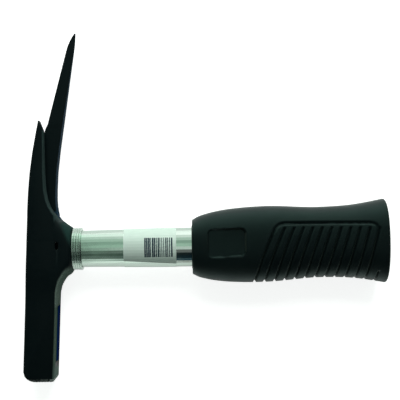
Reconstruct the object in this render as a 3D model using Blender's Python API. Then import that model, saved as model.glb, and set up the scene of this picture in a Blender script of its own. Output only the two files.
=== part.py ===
"""A lathing hammer lying on its side, with its handle along X and its spike towards +Y.

Metres, +Z up. Every piece is built about the eye, the point where the handle's centre line crosses the
head: X runs along the handle to the butt, Y up the head to the spike, and Z across the hammer. One empty
then moves them all, so that the middle of the hammer's underside is the origin.
"""

import math

import bmesh
import bpy
import numpy as np
from mathutils import Vector

MM = 0.001

# Clearances between pieces
FIT = 0.3 * MM
LABEL_FIT = 0.1 * MM

# Head: heights above or below the handle's centre line
POLL_REACH = 107.2 * MM
SPIKE_REACH = 179.4 * MM
TINE_REACH = 105.2 * MM
SHOULDER_HEIGHT = 99.8 * MM
SLOT_ROOT_HEIGHT = 28.0 * MM

# Head, seen from the side
HEAD_FRONT = 9.0 * MM
POLL_WIDTH = 24.9 * MM
HEAD_LEAN = math.radians(2.6)
TINE_SWEEP = 10.9 * MM
TINE_SWEEP_POWER = 2.83
TINE_BACK = 5.4 * MM
TINE_FLARE_POWER = 7
TINE_POINT_LENGTH = 8.0 * MM
TINE_POINT_WIDTH = 0.5 * MM
SPIKE_TIP_FORWARD = 30.4 * MM
SPIKE_LEAN = math.radians(9.4)
SPIKE_WAIST = 12.0 * MM
SPIKE_NECK_WIDTH = 12.3 * MM
SPIKE_POINT_WIDTH = 5.1 * MM
SPIKE_POINT_LENGTH = 13.0 * MM
SPIKE_POINT_POWER = 1.9
SPIKE_TIP_WIDTH = 1.0 * MM
SHOULDER_RISE = 3.7 * MM
SPIKE_SETBACK = 4.4 * MM
SPIKE_ROOT_FLARE = 1.8 * MM
SPIKE_ROOT_FLARE_HEIGHT = 14.0 * MM

# Head, seen along the handle
POLL_THICKNESS = 25.0 * MM
EYE_SIDE_WALL = 2.4 * MM
CLAW_THICKNESS = 28.0 * MM
POLL_THINS_FROM = 14.0 * MM
POLL_THINS_OVER = 31.0 * MM
SLOT_ROOT_WIDTH = 2.4 * MM
SLOT_MOUTH_WIDTH = 7.0 * MM
TINE_TIP_THICKNESS = 7.5 * MM
SPIKE_TIP_THICKNESS = 1.4 * MM

# Head: edges
HEAD_EDGE_RADIUS = 1.4 * MM
CLAW_EDGE_RADIUS = 1.0 * MM
FACE_EDGE_RADIUS = 2.4 * MM
FACE_TOE_RADIUS = 12.0 * MM
FACE_TOE_RISE = 8.5 * MM
FACE_HEEL_RADIUS = 1.2 * MM

# Boss that holds the handle, and the blind eye in it
BOSS_REACH = 26.9 * MM
BOSS_WALL = 2.4 * MM
BOSS_SIDE_WALL = 2.9 * MM
BOSS_LIP_RADIUS = 1.4 * MM
EYE_FRONT_WALL = 5.5 * MM

# Outline of the boss above and below the handle: share of its reach, share of the mouth's height
BOSS_TOP_FLARE = ((0.3, 1.7), (0.46, 1.66), (0.54, 1.56), (0.62, 1.39), (0.75, 1.23), (0.9, 1.08), (1, 1))
BOSS_BOTTOM_FLARE = ((0.3, 2.8), (0.5, 2.42), (0.58, 1.84), (0.65, 1.61), (0.75, 1.38), (0.96, 1.13), (1, 1.06))
BOSS_STATIONS = (0.3, 0.4, 0.46, 0.5, 0.54, 0.59, 0.65, 0.73, 0.82, 0.9)
BOSS_ROOT_INSET = 0.15 * MM
BOSS_FULL_FROM = 0.9
BOSS_ROUNDS_FROM = 0.5
BOSS_ROOT_POWER = 6
BOSS_MOUTH_POWER = 3

# Handle tube: an oval that widens towards the grip
TUBE_HEIGHT_AT_HEAD = 29.8 * MM
TUBE_HEIGHT_AT_GRIP = 32.2 * MM
TUBE_THICKNESS = 23.6 * MM
TUBE_WALL = 2.0 * MM
TUBE_TAPER_LENGTH = 90.0 * MM
TUBE_SHOWING = 90.1 * MM

# Core in the tube's head end, and the flat pin through it
CORE_PAST_PIN = 5.4 * MM
PIN_HEIGHT = 5.8 * MM
PIN_WIDTH = 2.0 * MM
PIN_PLACE = 15.8 * MM
PIN_OFFSET = 3.4 * MM
PIN_RECESS = 0.5 * MM

# Ribbed collar
COLLAR_WIDTH = 7.5 * MM
COLLAR_WALL = 2.0 * MM
COLLAR_RIBS = 3
COLLAR_RIB_DEPTH = 0.5 * MM
COLLAR_RIB_CREST = (0.25, 0.7)
COLLAR_BEAD = 0.15 * MM
COLLAR_BEAD_WIDTH = 1.4 * MM

# Label round the tube
LABEL_TO_GRIP = 12.6 * MM
LABEL_WIDTH = 42.8 * MM
LABEL_FILM = 0.2 * MM
LABEL_SEAM = 3.0 * MM

# Magnetic nail holder in the poll
STRIP_TOP = 47.2 * MM
STRIP_TO_FACE = 14.2 * MM
STRIP_NEAR_WALL = 8.2 * MM
STRIP_FAR_WALL = 2.2 * MM
STRIP_RECESS = 0.5 * MM
STRIP_CORNER = 1.2 * MM
NAIL_GROOVE_WIDTH = 4.0 * MM
NAIL_GROOVE_DEPTH = 1.0 * MM
MAGNET_LENGTH = 12.0 * MM
MAGNET_WIDTH = 6.0 * MM
MAGNET_DEPTH = 1.4 * MM
MAGNET_CORNER = 0.8 * MM
MAGNET_COVER = 0.5 * MM

# Liner under the grip, and plug in the tube's end
LINER_WALL = 1.3 * MM
LINER_LIP = 0.4 * MM
LINER_PAST_TUBE = 7.0 * MM
PLUG_LENGTH = 8.0 * MM

# Grip: its length, and the rubber above, below and beside its bore
GRIP_LENGTH = 160.2 * MM
GRIP_RISE = 2.6 * MM
GRIP_FRONT_RADIUS = 1.1 * MM
GRIP_FRONT_WALL = 4.1 * MM
GRIP_SWELL_WALL = 13.2 * MM
GRIP_WAIST_WALL = 11.0 * MM
GRIP_BUTT_WALL = 16.4 * MM
GRIP_FRONT_SIDE = 2.4 * MM
GRIP_SWELL_SIDE = 5.8 * MM
GRIP_WAIST_SIDE = 4.8 * MM
GRIP_BUTT_SIDE = 7.0 * MM
GRIP_SWELL_PLACE = 60.0 * MM
GRIP_WAIST_PLACE = 106.0 * MM
GRIP_SIDE_GROWTH = (0.3, 0.65)
GRIP_END_WALL = 12.0 * MM
GRIP_POWER = 2.3
BUTT_CURVE = 3.2 * MM
BUTT_POWER = 3.1

# How the grip's height grows: share of the way, share of the growth
SWELL_GROWTH = ((0, 0), (0.06, 0.23), (0.2, 0.53), (0.4, 0.78), (0.65, 0.935), (1, 1))
BUTT_GROWTH = ((0.55, 0.28), (0.82, 0.68), (1, 1))

# Grooves, border line and panel of the grip: heights are above the grip's own middle
GROOVE_START = 50.4 * MM
GROOVE_PITCH = 8.2 * MM
GROOVE_TOP_PITCH = 7.55 * MM
GROOVE_LEAN = 19.35 * MM
GROOVE_BOW = 0.35
GROOVE_BELOW_BORDER = 4.0 * MM
GROOVE_TO_BUTT = 5.0 * MM
GROOVE_LAST_TOP = -20.0 * MM
GROOVE_HALF_WIDTH = 1.5 * MM
GROOVE_DEPTH = 1.3 * MM
BORDER_HEIGHT = 18.5 * MM
BORDER_FALL = 3.3 * MM
BORDER_FRONT_TURN = 6.0 * MM
BORDER_BUTT_TURN = 10.0 * MM
BORDER_HALF_WIDTH = 0.8 * MM
BORDER_DEPTH = 0.7 * MM
PANEL_START = 12.8 * MM
PANEL_LENGTH = 30.2 * MM
PANEL_TOP = 14.4 * MM
PANEL_HEIGHT = 22.8 * MM
PANEL_CORNER = 4.0 * MM
PANEL_DEPTH = 0.8 * MM
PANEL_CUTTER_REACH = 8.0 * MM

# Fineness of the solids
OVAL_STEPS = 40
GRIP_STEPS = 52
GRIP_STATIONS = 25
BUTT_STATIONS = 7
BUTT_FLAT_SHARE = 0.15
CORNER_STEPS = 3
GROOVE_STEPS = 8
BORDER_STEPS = 9
TURN_STEPS = 4
BODY_STATIONS = 13
FACE_STATIONS = (0.0, 0.05, 0.14, 0.3, 0.58, 1.0)
CLAW_STATIONS = (0.04, 0.1, 0.18, 0.3, 0.5, 0.75, 1.0)

# Corner radius of the pin as a share of its width: a hair under half, for round ends
PIN_ROUND_SHARE = 0.49

# A thin section's edge radius as a share of its width
THIN_EDGE_SHARE = 0.3

# Places and sizes that follow from these
MOUTH_HALF_HEIGHT = TUBE_HEIGHT_AT_HEAD / 2 + FIT + BOSS_WALL
BOSS_HALF_THICKNESS = TUBE_THICKNESS / 2 + FIT + BOSS_SIDE_WALL
EYE_HALF_THICKNESS = TUBE_THICKNESS / 2 + FIT + EYE_SIDE_WALL
EYE_BOTTOM = EYE_FRONT_WALL - HEAD_FRONT
TUBE_START = EYE_BOTTOM + FIT
COLLAR_START = BOSS_REACH + FIT
COLLAR_END = COLLAR_START + COLLAR_WIDTH
GRIP_START = COLLAR_END + TUBE_SHOWING + LINER_LIP
LINER_START = GRIP_START - LINER_LIP
LABEL_END = LINER_START - LABEL_TO_GRIP
LABEL_START = LABEL_END - LABEL_WIDTH
BORE_END = GRIP_START + GRIP_LENGTH - GRIP_END_WALL
BORE_OFFSET = FIT + LINER_WALL + FIT
LINER_END = BORE_END - FIT
TUBE_END = LINER_END - LINER_PAST_TUBE
BARREL_LENGTH = GRIP_LENGTH - BUTT_CURVE
GROOVE_COUNT = int((BARREL_LENGTH - GROOVE_TO_BUTT - GROOVE_START) / GROOVE_PITCH) + 1
STRIP_DEPTH = STRIP_RECESS + NAIL_GROOVE_DEPTH + MAGNET_COVER + FIT + MAGNET_DEPTH
STRIP_LENGTH = (POLL_REACH - STRIP_TO_FACE - STRIP_TOP) / math.cos(HEAD_LEAN)
STRIP_WIDTH = POLL_THICKNESS - STRIP_NEAR_WALL - STRIP_FAR_WALL - 2 * FIT
STRIP_OFFSET = (STRIP_NEAR_WALL - STRIP_FAR_WALL) / 2


def clear_scene():
    for obj in list(bpy.data.objects):
        bpy.data.objects.remove(obj, do_unlink=True)


def material(name, colour, roughness, metallic):
    """A Principled material of one plain colour."""
    found = bpy.data.materials.new(name)
    found.use_nodes = True
    shader = found.node_tree.nodes["Principled BSDF"]
    shader.inputs["Base Color"].default_value = (*colour, 1.0)
    shader.inputs["Roughness"].default_value = roughness
    shader.inputs["Metallic"].default_value = metallic
    return found


def mesh_object(name, build, finish):
    """A named, smoothly shaded object from a bmesh."""
    bmesh.ops.recalc_face_normals(build, faces=build.faces)
    mesh = bpy.data.meshes.new(name)
    build.to_mesh(mesh)
    build.free()
    mesh.shade_smooth()
    mesh.set_sharp_from_angle(angle=math.radians(32))
    obj = bpy.data.objects.new(name, mesh)
    bpy.context.scene.collection.objects.link(obj)
    if finish:
        mesh.materials.append(finish)
    return obj


def boolean(target, operation, helper, solver="EXACT"):
    """Joins a helper to the target or cuts it away, and hides the helper."""
    modifier = target.modifiers.new(f"{operation.lower()}_{helper.name}", "BOOLEAN")
    modifier.operation = operation
    modifier.solver = solver
    modifier.object = helper
    helper.hide_render = True
    helper.display_type = "WIRE"


def bridge(build, first, second):
    """A closed band of quads between two rings of as many vertices."""
    for i in range(len(first)):
        j = (i + 1) % len(first)
        build.faces.new((first[i], first[j], second[j], second[i]))


def loft(build, rings, loops_back=False):
    """A skin over rings of points. It has flat ends, or closes on itself as a tube wall does."""
    made = [[build.verts.new(point) for point in ring] for ring in rings]
    for first, second in zip(made, made[1:]):
        bridge(build, first, second)
    if loops_back:
        bridge(build, made[-1], made[0])
    else:
        build.faces.new(made[0])
        build.faces.new(list(reversed(made[-1])))
    return made


def smooth_max(first, second, softness):
    """The larger of two values, with the corner between them rounded."""
    return (first + second + math.hypot(first - second, softness)) / 2


def smooth_step(value, low, high):
    share = min(max((value - low) / (high - low), 0.0), 1.0)
    return share * share * (3 - 2 * share)


def between(start, end, share):
    return start + (end - start) * share


def through(points, place):
    """A smooth curve through (place, value) points, read at one place."""
    places, values = np.array(points, float).T
    slopes = np.gradient(values, places)
    i = int(np.clip(np.searchsorted(places, place) - 1, 0, len(places) - 2))
    width = places[i + 1] - places[i]
    t = float(np.clip((place - places[i]) / width, 0.0, 1.0))
    start, end = values[i], values[i + 1]
    return float(
        start * (1 + 2 * t) * (1 - t) ** 2
        + end * t * t * (3 - 2 * t)
        + width * slopes[i] * t * (1 - t) ** 2
        - width * slopes[i + 1] * t * t * (1 - t)
    )


# Outline of the head


def head_front(height):
    """The front line: straight and leaning along the poll, swept back towards the handle along the claw."""
    lean = math.tan(HEAD_LEAN) * height
    if height <= 0:
        return -HEAD_FRONT + lean
    share = height / TINE_REACH
    return -HEAD_FRONT + lean * (1 - share) + TINE_SWEEP * share**TINE_SWEEP_POWER


def poll_back(height):
    return -HEAD_FRONT + POLL_WIDTH + math.tan(HEAD_LEAN) * height


def spike_back(height):
    """The handle side of the spike: straight from its waist, upright at the point, flared at the boss."""
    slope = math.tan(SPIKE_LEAN)
    below_tip = SPIKE_REACH - height
    in_point = max(SPIKE_POINT_LENGTH - below_tip, 0.0)
    line = SPIKE_TIP_FORWARD + slope * (SPIKE_POINT_LENGTH / 2 - below_tip)
    line -= slope * in_point**2 / (2 * SPIKE_POINT_LENGTH)
    above_root = max(height - SLOT_ROOT_HEIGHT, 0.0)
    flare = SPIKE_ROOT_FLARE * max(1 - above_root / SPIKE_ROOT_FLARE_HEIGHT, 0.0) ** 2
    return smooth_max(line, SPIKE_WAIST, 2 * HEAD_EDGE_RADIUS) + flare


def spike_front(height):
    """The front of the spike: behind the tine below the shoulder, tapering to the tip above it."""
    neck = SHOULDER_HEIGHT + SHOULDER_RISE
    if height >= neck:
        width = between(SPIKE_NECK_WIDTH, SPIKE_POINT_WIDTH, (height - neck) / (SPIKE_REACH - neck))
        share = max(height - SPIKE_REACH + SPIKE_POINT_LENGTH, 0.0) / SPIKE_POINT_LENGTH
        ground = share**SPIKE_POINT_POWER * (SPIKE_POINT_WIDTH - SPIKE_TIP_WIDTH)
        return spike_back(height) - width + ground
    share = max(height - SLOT_ROOT_HEIGHT, 0.0) / (SHOULDER_HEIGHT - SLOT_ROOT_HEIGHT)
    return head_front(height) + SPIKE_SETBACK * share**2


def body_back(height):
    """The handle side of the body: the poll's back, then the part hidden in the boss, up to the slot."""
    low, high = -POLL_WIDTH, SLOT_ROOT_HEIGHT
    if height <= low:
        return poll_back(height)
    share = (height - low) / (high - low)
    return poll_back(low) + share * (spike_back(high) - poll_back(low))


def tine_back(height):
    """The handle side of the short tine, which flares down into the boss, and is cut slanting to a point."""
    cut = TINE_REACH - TINE_POINT_LENGTH
    share = (height - SLOT_ROOT_HEIGHT) / (cut - SLOT_ROOT_HEIGHT)
    flare = spike_back(SLOT_ROOT_HEIGHT) - TINE_BACK
    if height <= cut:
        return TINE_BACK + flare * (1 - share) ** TINE_FLARE_POWER
    tip = head_front(TINE_REACH) + TINE_POINT_WIDTH
    return between(TINE_BACK, tip, (height - cut) / TINE_POINT_LENGTH)


def half_thickness(height):
    """Half the head's thickness: thin at the poll, thickest round the eye, a little less at the claw."""
    if height < 0:
        share = smooth_step(-height, POLL_THINS_FROM, POLL_THINS_FROM + POLL_THINS_OVER)
        return between(EYE_HALF_THICKNESS, POLL_THICKNESS / 2, share)
    return between(EYE_HALF_THICKNESS, CLAW_THICKNESS / 2, smooth_step(height, 0.0, SLOT_ROOT_HEIGHT))


def half_slot(height):
    share = (height - SLOT_ROOT_HEIGHT) / (SHOULDER_HEIGHT - SLOT_ROOT_HEIGHT)
    return between(SLOT_ROOT_WIDTH, SLOT_MOUTH_WIDTH, min(share, 1.0)) / 2


def corner(centre_x, centre_z, radius, start):
    """A quarter circle of (x, z) points."""
    angles = [math.radians(start + 90 * step / CORNER_STEPS) for step in range(CORNER_STEPS + 1)]
    return [(centre_x + radius * math.cos(a), centre_z + radius * math.sin(a)) for a in angles]


def half_section(height, front, back, inner, outer, radius):
    """Half of a rounded block's section, from the slot's side at the back round to its side at the front."""
    side = 1 if outer > 0 else -1
    reach = abs(outer) - radius
    back_corner = corner(back - radius, reach, radius, 0)
    front_corner = corner(front + radius, reach, radius, 90)
    outline = [(back, abs(inner)), *back_corner, *front_corner, (front, abs(inner))]
    return [Vector((x, height, side * z)) for x, z in outline]


def full_section(height, front, back, thickness, inner, radius):
    """A rounded block's section, made of a near and a far half, so that the slot can part it."""
    near = half_section(height, front, back, inner, thickness, radius)
    far = half_section(height, front, back, inner, -thickness, radius)
    return near + list(reversed(far))


def quarter_inset(depth, radius):
    """How far a rounded edge stands in at this depth below the face."""
    inside = max(radius - depth, 0.0)
    return radius - math.sqrt(radius * radius - inside * inside)


def poll_sections():
    """From the striking face up to the slot's root."""
    inner = SLOT_ROOT_WIDTH / 2
    largest = max(FACE_TOE_RISE, FACE_EDGE_RADIUS, FACE_HEEL_RADIUS)
    sections = []
    for share in FACE_STATIONS:
        depth = share * largest
        height = depth - POLL_REACH
        toe_depth = depth * FACE_TOE_RADIUS / FACE_TOE_RISE
        front = head_front(height) + quarter_inset(toe_depth, FACE_TOE_RADIUS)
        back = poll_back(height) - quarter_inset(depth, FACE_HEEL_RADIUS)
        thickness = half_thickness(height) - quarter_inset(depth, FACE_EDGE_RADIUS)
        sections.append(full_section(height, front, back, thickness, inner, HEAD_EDGE_RADIUS))
    first = largest - POLL_REACH
    for share in np.linspace(0, 1, BODY_STATIONS)[1:]:
        height = between(first, SLOT_ROOT_HEIGHT, share)
        spread = half_thickness(height)
        sections.append(
            full_section(height, head_front(height), body_back(height), spread, inner, HEAD_EDGE_RADIUS)
        )
    return sections


def tine_sections():
    """The near half, from just above the slot's root to the short tine's point."""
    cut = TINE_REACH - TINE_POINT_LENGTH
    heights = [between(SLOT_ROOT_HEIGHT, cut, share) for share in CLAW_STATIONS]
    heights += [between(cut, TINE_REACH, share) for share in (0.5, 1.0)]
    sections = []
    for height in heights:
        taper = smooth_step(height, SHOULDER_HEIGHT * 0.5, TINE_REACH)
        inner = half_slot(height)
        outer = between(half_thickness(height), inner + TINE_TIP_THICKNESS, taper)
        front, back = head_front(height), tine_back(height)
        radius = min(CLAW_EDGE_RADIUS, THIN_EDGE_SHARE * (back - front))
        sections.append(half_section(height, front, back, inner, outer, radius))
    return sections


def spike_sections():
    """The far half, from just above the slot's root over the shoulder to the spike's tip."""
    neck = SHOULDER_HEIGHT + SHOULDER_RISE
    point = SPIKE_REACH - SPIKE_POINT_LENGTH
    heights = [between(SLOT_ROOT_HEIGHT, SHOULDER_HEIGHT, share) for share in CLAW_STATIONS]
    heights += [between(neck, point, share) for share in (0.0, 0.33, 0.67)]
    heights += [between(point, SPIKE_REACH, share) for share in (0.0, 0.25, 0.5, 0.75, 1.0)]
    sections = []
    for height in heights:
        share = max(height - neck, 0.0) / (SPIKE_REACH - neck)
        near, far = half_slot(height), half_thickness(height)
        middle = (near + far) / 2
        spread = between(far - near, SPIKE_TIP_THICKNESS, share) / 2
        front, back = spike_front(height), spike_back(height)
        radius = min(CLAW_EDGE_RADIUS, THIN_EDGE_SHARE * (back - front))
        sections.append(half_section(height, front, back, middle - spread, -middle - spread, radius))
    return sections


def forging():
    """Poll, body, tine and spike as one skin, which parts in two at the slot's root."""
    build = bmesh.new()
    poll = [[build.verts.new(point) for point in section] for section in poll_sections()]
    for first, second in zip(poll, poll[1:]):
        bridge(build, first, second)
    build.faces.new(poll[0])
    half = len(poll[-1]) // 2
    near, far = poll[-1][:half], list(reversed(poll[-1][half:]))
    build.faces.new((near[0], near[-1], far[-1], far[0]))
    for start, sections in ((near, tine_sections()), (far, spike_sections())):
        rings = [start] + [[build.verts.new(point) for point in section] for section in sections]
        for first, second in zip(rings, rings[1:]):
            bridge(build, first, second)
        build.faces.new(rings[-1])
    return build


def boss_span(forward):
    """(half height, middle) of the boss's outline from the side: a trumpet that runs out into the head."""
    share = forward / BOSS_REACH
    top, bottom = (MOUTH_HALF_HEIGHT * through(flare, share) for flare in (BOSS_TOP_FLARE, BOSS_BOTTOM_FLARE))
    return (top + bottom) / 2, (top - bottom) / 2


def oval(forward, half_height, half_thick, power=2.0, steps=OVAL_STEPS, centre=0.0):
    """A ring round the handle's line: an oval at power 2, nearer a rounded block at more."""
    points = []
    for step in range(steps):
        angle = 2 * math.pi * (step + 0.5) / steps
        c, s = math.cos(angle), math.sin(angle)
        y = half_height * math.copysign(abs(s) ** (2 / power), s)
        z = half_thick * math.copysign(abs(c) ** (2 / power), c)
        points.append(Vector((forward, y + centre, z)))
    return points


def boss():
    """The swelling that takes the tube. It rises out of the cheek, and ends in a rounded mouth."""
    build = bmesh.new()
    rings = []
    for share in BOSS_STATIONS:
        widen = smooth_step(share, BOSS_STATIONS[0], BOSS_FULL_FROM)
        power = between(BOSS_ROOT_POWER, BOSS_MOUTH_POWER, smooth_step(share, BOSS_ROUNDS_FROM, 1.0))
        half_height, middle = boss_span(share * BOSS_REACH)
        ring = oval(share * BOSS_REACH, half_height, 1.0, power, centre=middle)
        for point in ring:
            cheek = half_thickness(point.y) - BOSS_ROOT_INSET
            point.z *= between(cheek, BOSS_HALF_THICKNESS, widen)
        rings.append(ring)
    for degrees in (0, 45, 90):
        angle = math.radians(degrees)
        inset = BOSS_LIP_RADIUS * (1 - math.cos(angle))
        forward = BOSS_REACH - BOSS_LIP_RADIUS * (1 - math.sin(angle))
        half_height, middle = boss_span(forward)
        half_thick = BOSS_HALF_THICKNESS - inset
        rings.append(oval(forward, half_height - inset, half_thick, BOSS_MOUTH_POWER, centre=middle))
    loft(build, rings)
    return build


# Handle tube, from its end in the eye to its end in the grip


def tube_half_height(forward):
    share = min(max((forward - BOSS_REACH) / TUBE_TAPER_LENGTH, 0.0), 1.0)
    return (TUBE_HEIGHT_AT_HEAD + share * (TUBE_HEIGHT_AT_GRIP - TUBE_HEIGHT_AT_HEAD)) / 2


def tube_ring(forward, offset):
    """A ring at this offset from the tube's outside."""
    return oval(forward, tube_half_height(forward) + offset, TUBE_THICKNESS / 2 + offset)


def tube_stations(start, end):
    """The ends of a stretch of the tube and the places between them where its taper changes."""
    bends = [BOSS_REACH, BOSS_REACH + TUBE_TAPER_LENGTH]
    return [start] + [bend for bend in bends if start < bend < end] + [end]


def sleeve(start, end, inner, outer):
    """A wall round the tube, between two offsets from its outside."""
    build = bmesh.new()
    places = tube_stations(start, end)
    rings = [tube_ring(place, outer) for place in places]
    rings += [tube_ring(place, inner) for place in reversed(places)]
    loft(build, rings, loops_back=True)
    return build


def rod(start, end, offset):
    """A solid that fills the tube's line out to an offset from its outside."""
    build = bmesh.new()
    loft(build, [tube_ring(place, offset) for place in tube_stations(start, end)])
    return build


def prism(outline, low, high, place):
    """An outline of (u, v) points pushed from low to high, with place turning (u, v, w) into a point."""
    build = bmesh.new()
    loft(build, [[place(u, v, level) for u, v in outline] for level in (low, high)])
    return build


def rounded_outline(width, height, radius, steps=4):
    """A rectangle about the origin with rounded corners."""
    outline = []
    for start, (x, y) in zip((0, 90, 180, 270), ((1, 1), (-1, 1), (-1, -1), (1, -1))):
        for step in range(steps + 1):
            angle = math.radians(start + 90 * step / steps)
            outline.append(
                (
                    x * (width / 2 - radius) + radius * math.cos(angle),
                    y * (height / 2 - radius) + radius * math.sin(angle),
                )
            )
    return outline


def pin_prism(grow, low, high):
    """The flat pin's shape, through the head from cheek to cheek, grown by a clearance for its hole."""
    width, height = PIN_WIDTH + 2 * grow, PIN_HEIGHT + 2 * grow
    outline = rounded_outline(width, height, width * PIN_ROUND_SHARE)

    def place(u, v, level):
        return Vector((PIN_PLACE + u, PIN_OFFSET + v, level))

    return prism(outline, low, high, place)


def add_pin_hole(target):
    reach = 2 * BOSS_HALF_THICKNESS
    hole = mesh_object(f"pin_hole_in_{target.name}", pin_prism(FIT, -reach, reach), None)
    boolean(target, "DIFFERENCE", hole)


def strip_place(along, across, up):
    """A point of the nail holder, which lies on the poll's leaning back."""
    height = -STRIP_TOP - STRIP_LENGTH / 2 + along * math.cos(HEAD_LEAN) - up * math.sin(HEAD_LEAN)
    middle = poll_back(-STRIP_TOP - STRIP_LENGTH / 2)
    forward = middle + along * math.sin(HEAD_LEAN) + up * math.cos(HEAD_LEAN)
    return Vector((forward, height, across - STRIP_OFFSET))


def strip_prism(length, width, low, high, radius):
    return prism(rounded_outline(length, width, radius), low, high, strip_place)


def make_head(finish):
    head = mesh_object("hammer_head", forging(), finish)
    boolean(head, "UNION", mesh_object("boss_form", boss(), None))
    eye = mesh_object("eye_cutter", rod(EYE_BOTTOM, COLLAR_END, FIT), None)
    boolean(head, "DIFFERENCE", eye)
    add_pin_hole(head)
    length, width = STRIP_LENGTH + 2 * FIT, STRIP_WIDTH + 2 * FIT
    pocket = strip_prism(length, width, -STRIP_DEPTH - FIT, STRIP_DEPTH, STRIP_CORNER + FIT)
    boolean(head, "DIFFERENCE", mesh_object("strip_pocket", pocket, None))
    return head


def vee(width, depth, over=0.6):
    """A V-shaped outline that cuts this wide and deep, and stands over the surface by a share of its depth."""
    half = width / 2 * (1 + over)
    return [(-half, depth * over), (0.0, -depth), (half, depth * over)]


def make_strip(finish):
    """The insert, with a groove for the nail and a pocket for the magnet under it."""
    body = strip_prism(STRIP_LENGTH, STRIP_WIDTH, -STRIP_DEPTH, -STRIP_RECESS, STRIP_CORNER)
    strip = mesh_object("magnet_strip", body, finish)

    def groove_place(across, up, along):
        return strip_place(along, across, up - STRIP_RECESS)

    cutter = prism(vee(NAIL_GROOVE_WIDTH, NAIL_GROOVE_DEPTH), -STRIP_LENGTH, STRIP_LENGTH, groove_place)
    boolean(strip, "DIFFERENCE", mesh_object("nail_groove_cutter", cutter, None))
    length, width = MAGNET_LENGTH + 2 * FIT, MAGNET_WIDTH + 2 * FIT
    ceiling = MAGNET_DEPTH + FIT - STRIP_DEPTH
    pocket = strip_prism(length, width, -2 * STRIP_DEPTH, ceiling, MAGNET_CORNER + FIT)
    boolean(strip, "DIFFERENCE", mesh_object("magnet_pocket", pocket, None))


def make_magnet(finish):
    floor = -STRIP_DEPTH
    body = strip_prism(MAGNET_LENGTH, MAGNET_WIDTH, floor, floor + MAGNET_DEPTH, MAGNET_CORNER)
    mesh_object("nail_magnet", body, finish)


def make_tube(finish):
    tube = mesh_object("handle_tube", sleeve(TUBE_START, TUBE_END, -TUBE_WALL, 0.0), finish)
    add_pin_hole(tube)


def make_core(finish):
    end = PIN_PLACE + PIN_WIDTH / 2 + CORE_PAST_PIN
    core = mesh_object("tube_core", rod(TUBE_START, end, -TUBE_WALL - FIT), finish)
    add_pin_hole(core)


def make_pin(finish):
    reach = BOSS_HALF_THICKNESS - PIN_RECESS
    mesh_object("lock_pin", pin_prism(0.0, -reach, reach), finish)


def make_collar(finish):
    """A ring on the tube against the boss, with ribs round it and a bead at its free edge."""
    build = bmesh.new()
    bead = COLLAR_BEAD_WIDTH
    pitch = (COLLAR_WIDTH - bead) / COLLAR_RIBS
    high = FIT + COLLAR_WALL
    low, top = high - COLLAR_RIB_DEPTH, high + COLLAR_BEAD
    profile = [(COLLAR_START, low)]
    for rib in range(COLLAR_RIBS):
        base = COLLAR_START + rib * pitch
        profile += [(base + share * pitch, high) for share in COLLAR_RIB_CREST]
        profile.append((base + pitch, low))
    profile += [(COLLAR_END - 0.75 * bead, top), (COLLAR_END - 0.25 * bead, top), (COLLAR_END, high)]
    rings = [tube_ring(place, offset) for place, offset in profile]
    rings += [tube_ring(place, FIT) for place in (COLLAR_END, COLLAR_START)]
    loft(build, rings, loops_back=True)
    mesh_object("crimp_collar", build, finish)


def make_label(finish):
    """A thin film wrapped round the tube, its ends parted at a seam under the hammer."""
    build = bmesh.new()
    places = tube_stations(LABEL_START, LABEL_END)
    gap = max(1, round(LABEL_SEAM / (math.pi * TUBE_HEIGHT_AT_GRIP / OVAL_STEPS)))
    opening = OVAL_STEPS // 2 - gap // 2
    kept = [(opening + gap + step) % OVAL_STEPS for step in range(OVAL_STEPS - gap + 1)]
    strips = []
    for index in kept:
        outer = [tube_ring(place, LABEL_FIT + LABEL_FILM)[index] for place in places]
        inner = [tube_ring(place, LABEL_FIT)[index] for place in reversed(places)]
        strips.append(outer + inner)
    loft(build, strips)
    mesh_object("tube_label", build, finish)


def grip_profile(along):
    """(half height, half thickness) of the grip at a distance from its front."""
    walls = [
        (GRIP_SWELL_PLACE * place, between(GRIP_FRONT_WALL, GRIP_SWELL_WALL, growth))
        for place, growth in SWELL_GROWTH
    ]
    walls.append((GRIP_WAIST_PLACE, GRIP_WAIST_WALL))
    walls += [
        (between(GRIP_WAIST_PLACE, BARREL_LENGTH, place), between(GRIP_WAIST_WALL, GRIP_BUTT_WALL, growth))
        for place, growth in BUTT_GROWTH
    ]
    side_place, side_growth = GRIP_SIDE_GROWTH
    sides = [
        (0.0, GRIP_FRONT_SIDE),
        (side_place * GRIP_SWELL_PLACE, between(GRIP_FRONT_SIDE, GRIP_SWELL_SIDE, side_growth)),
        (GRIP_SWELL_PLACE, GRIP_SWELL_SIDE),
        (GRIP_WAIST_PLACE, GRIP_WAIST_SIDE),
        (BARREL_LENGTH, GRIP_BUTT_SIDE),
    ]
    half_height = TUBE_HEIGHT_AT_GRIP / 2 + BORE_OFFSET + through(walls, along)
    return half_height, TUBE_THICKNESS / 2 + BORE_OFFSET + through(sides, along)


def grip_centre(along):
    """How far the middle of the grip stands above the tube's line, because the grip curves up to its butt."""
    return GRIP_RISE * math.sin(math.pi / 2 * along / GRIP_LENGTH)


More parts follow.
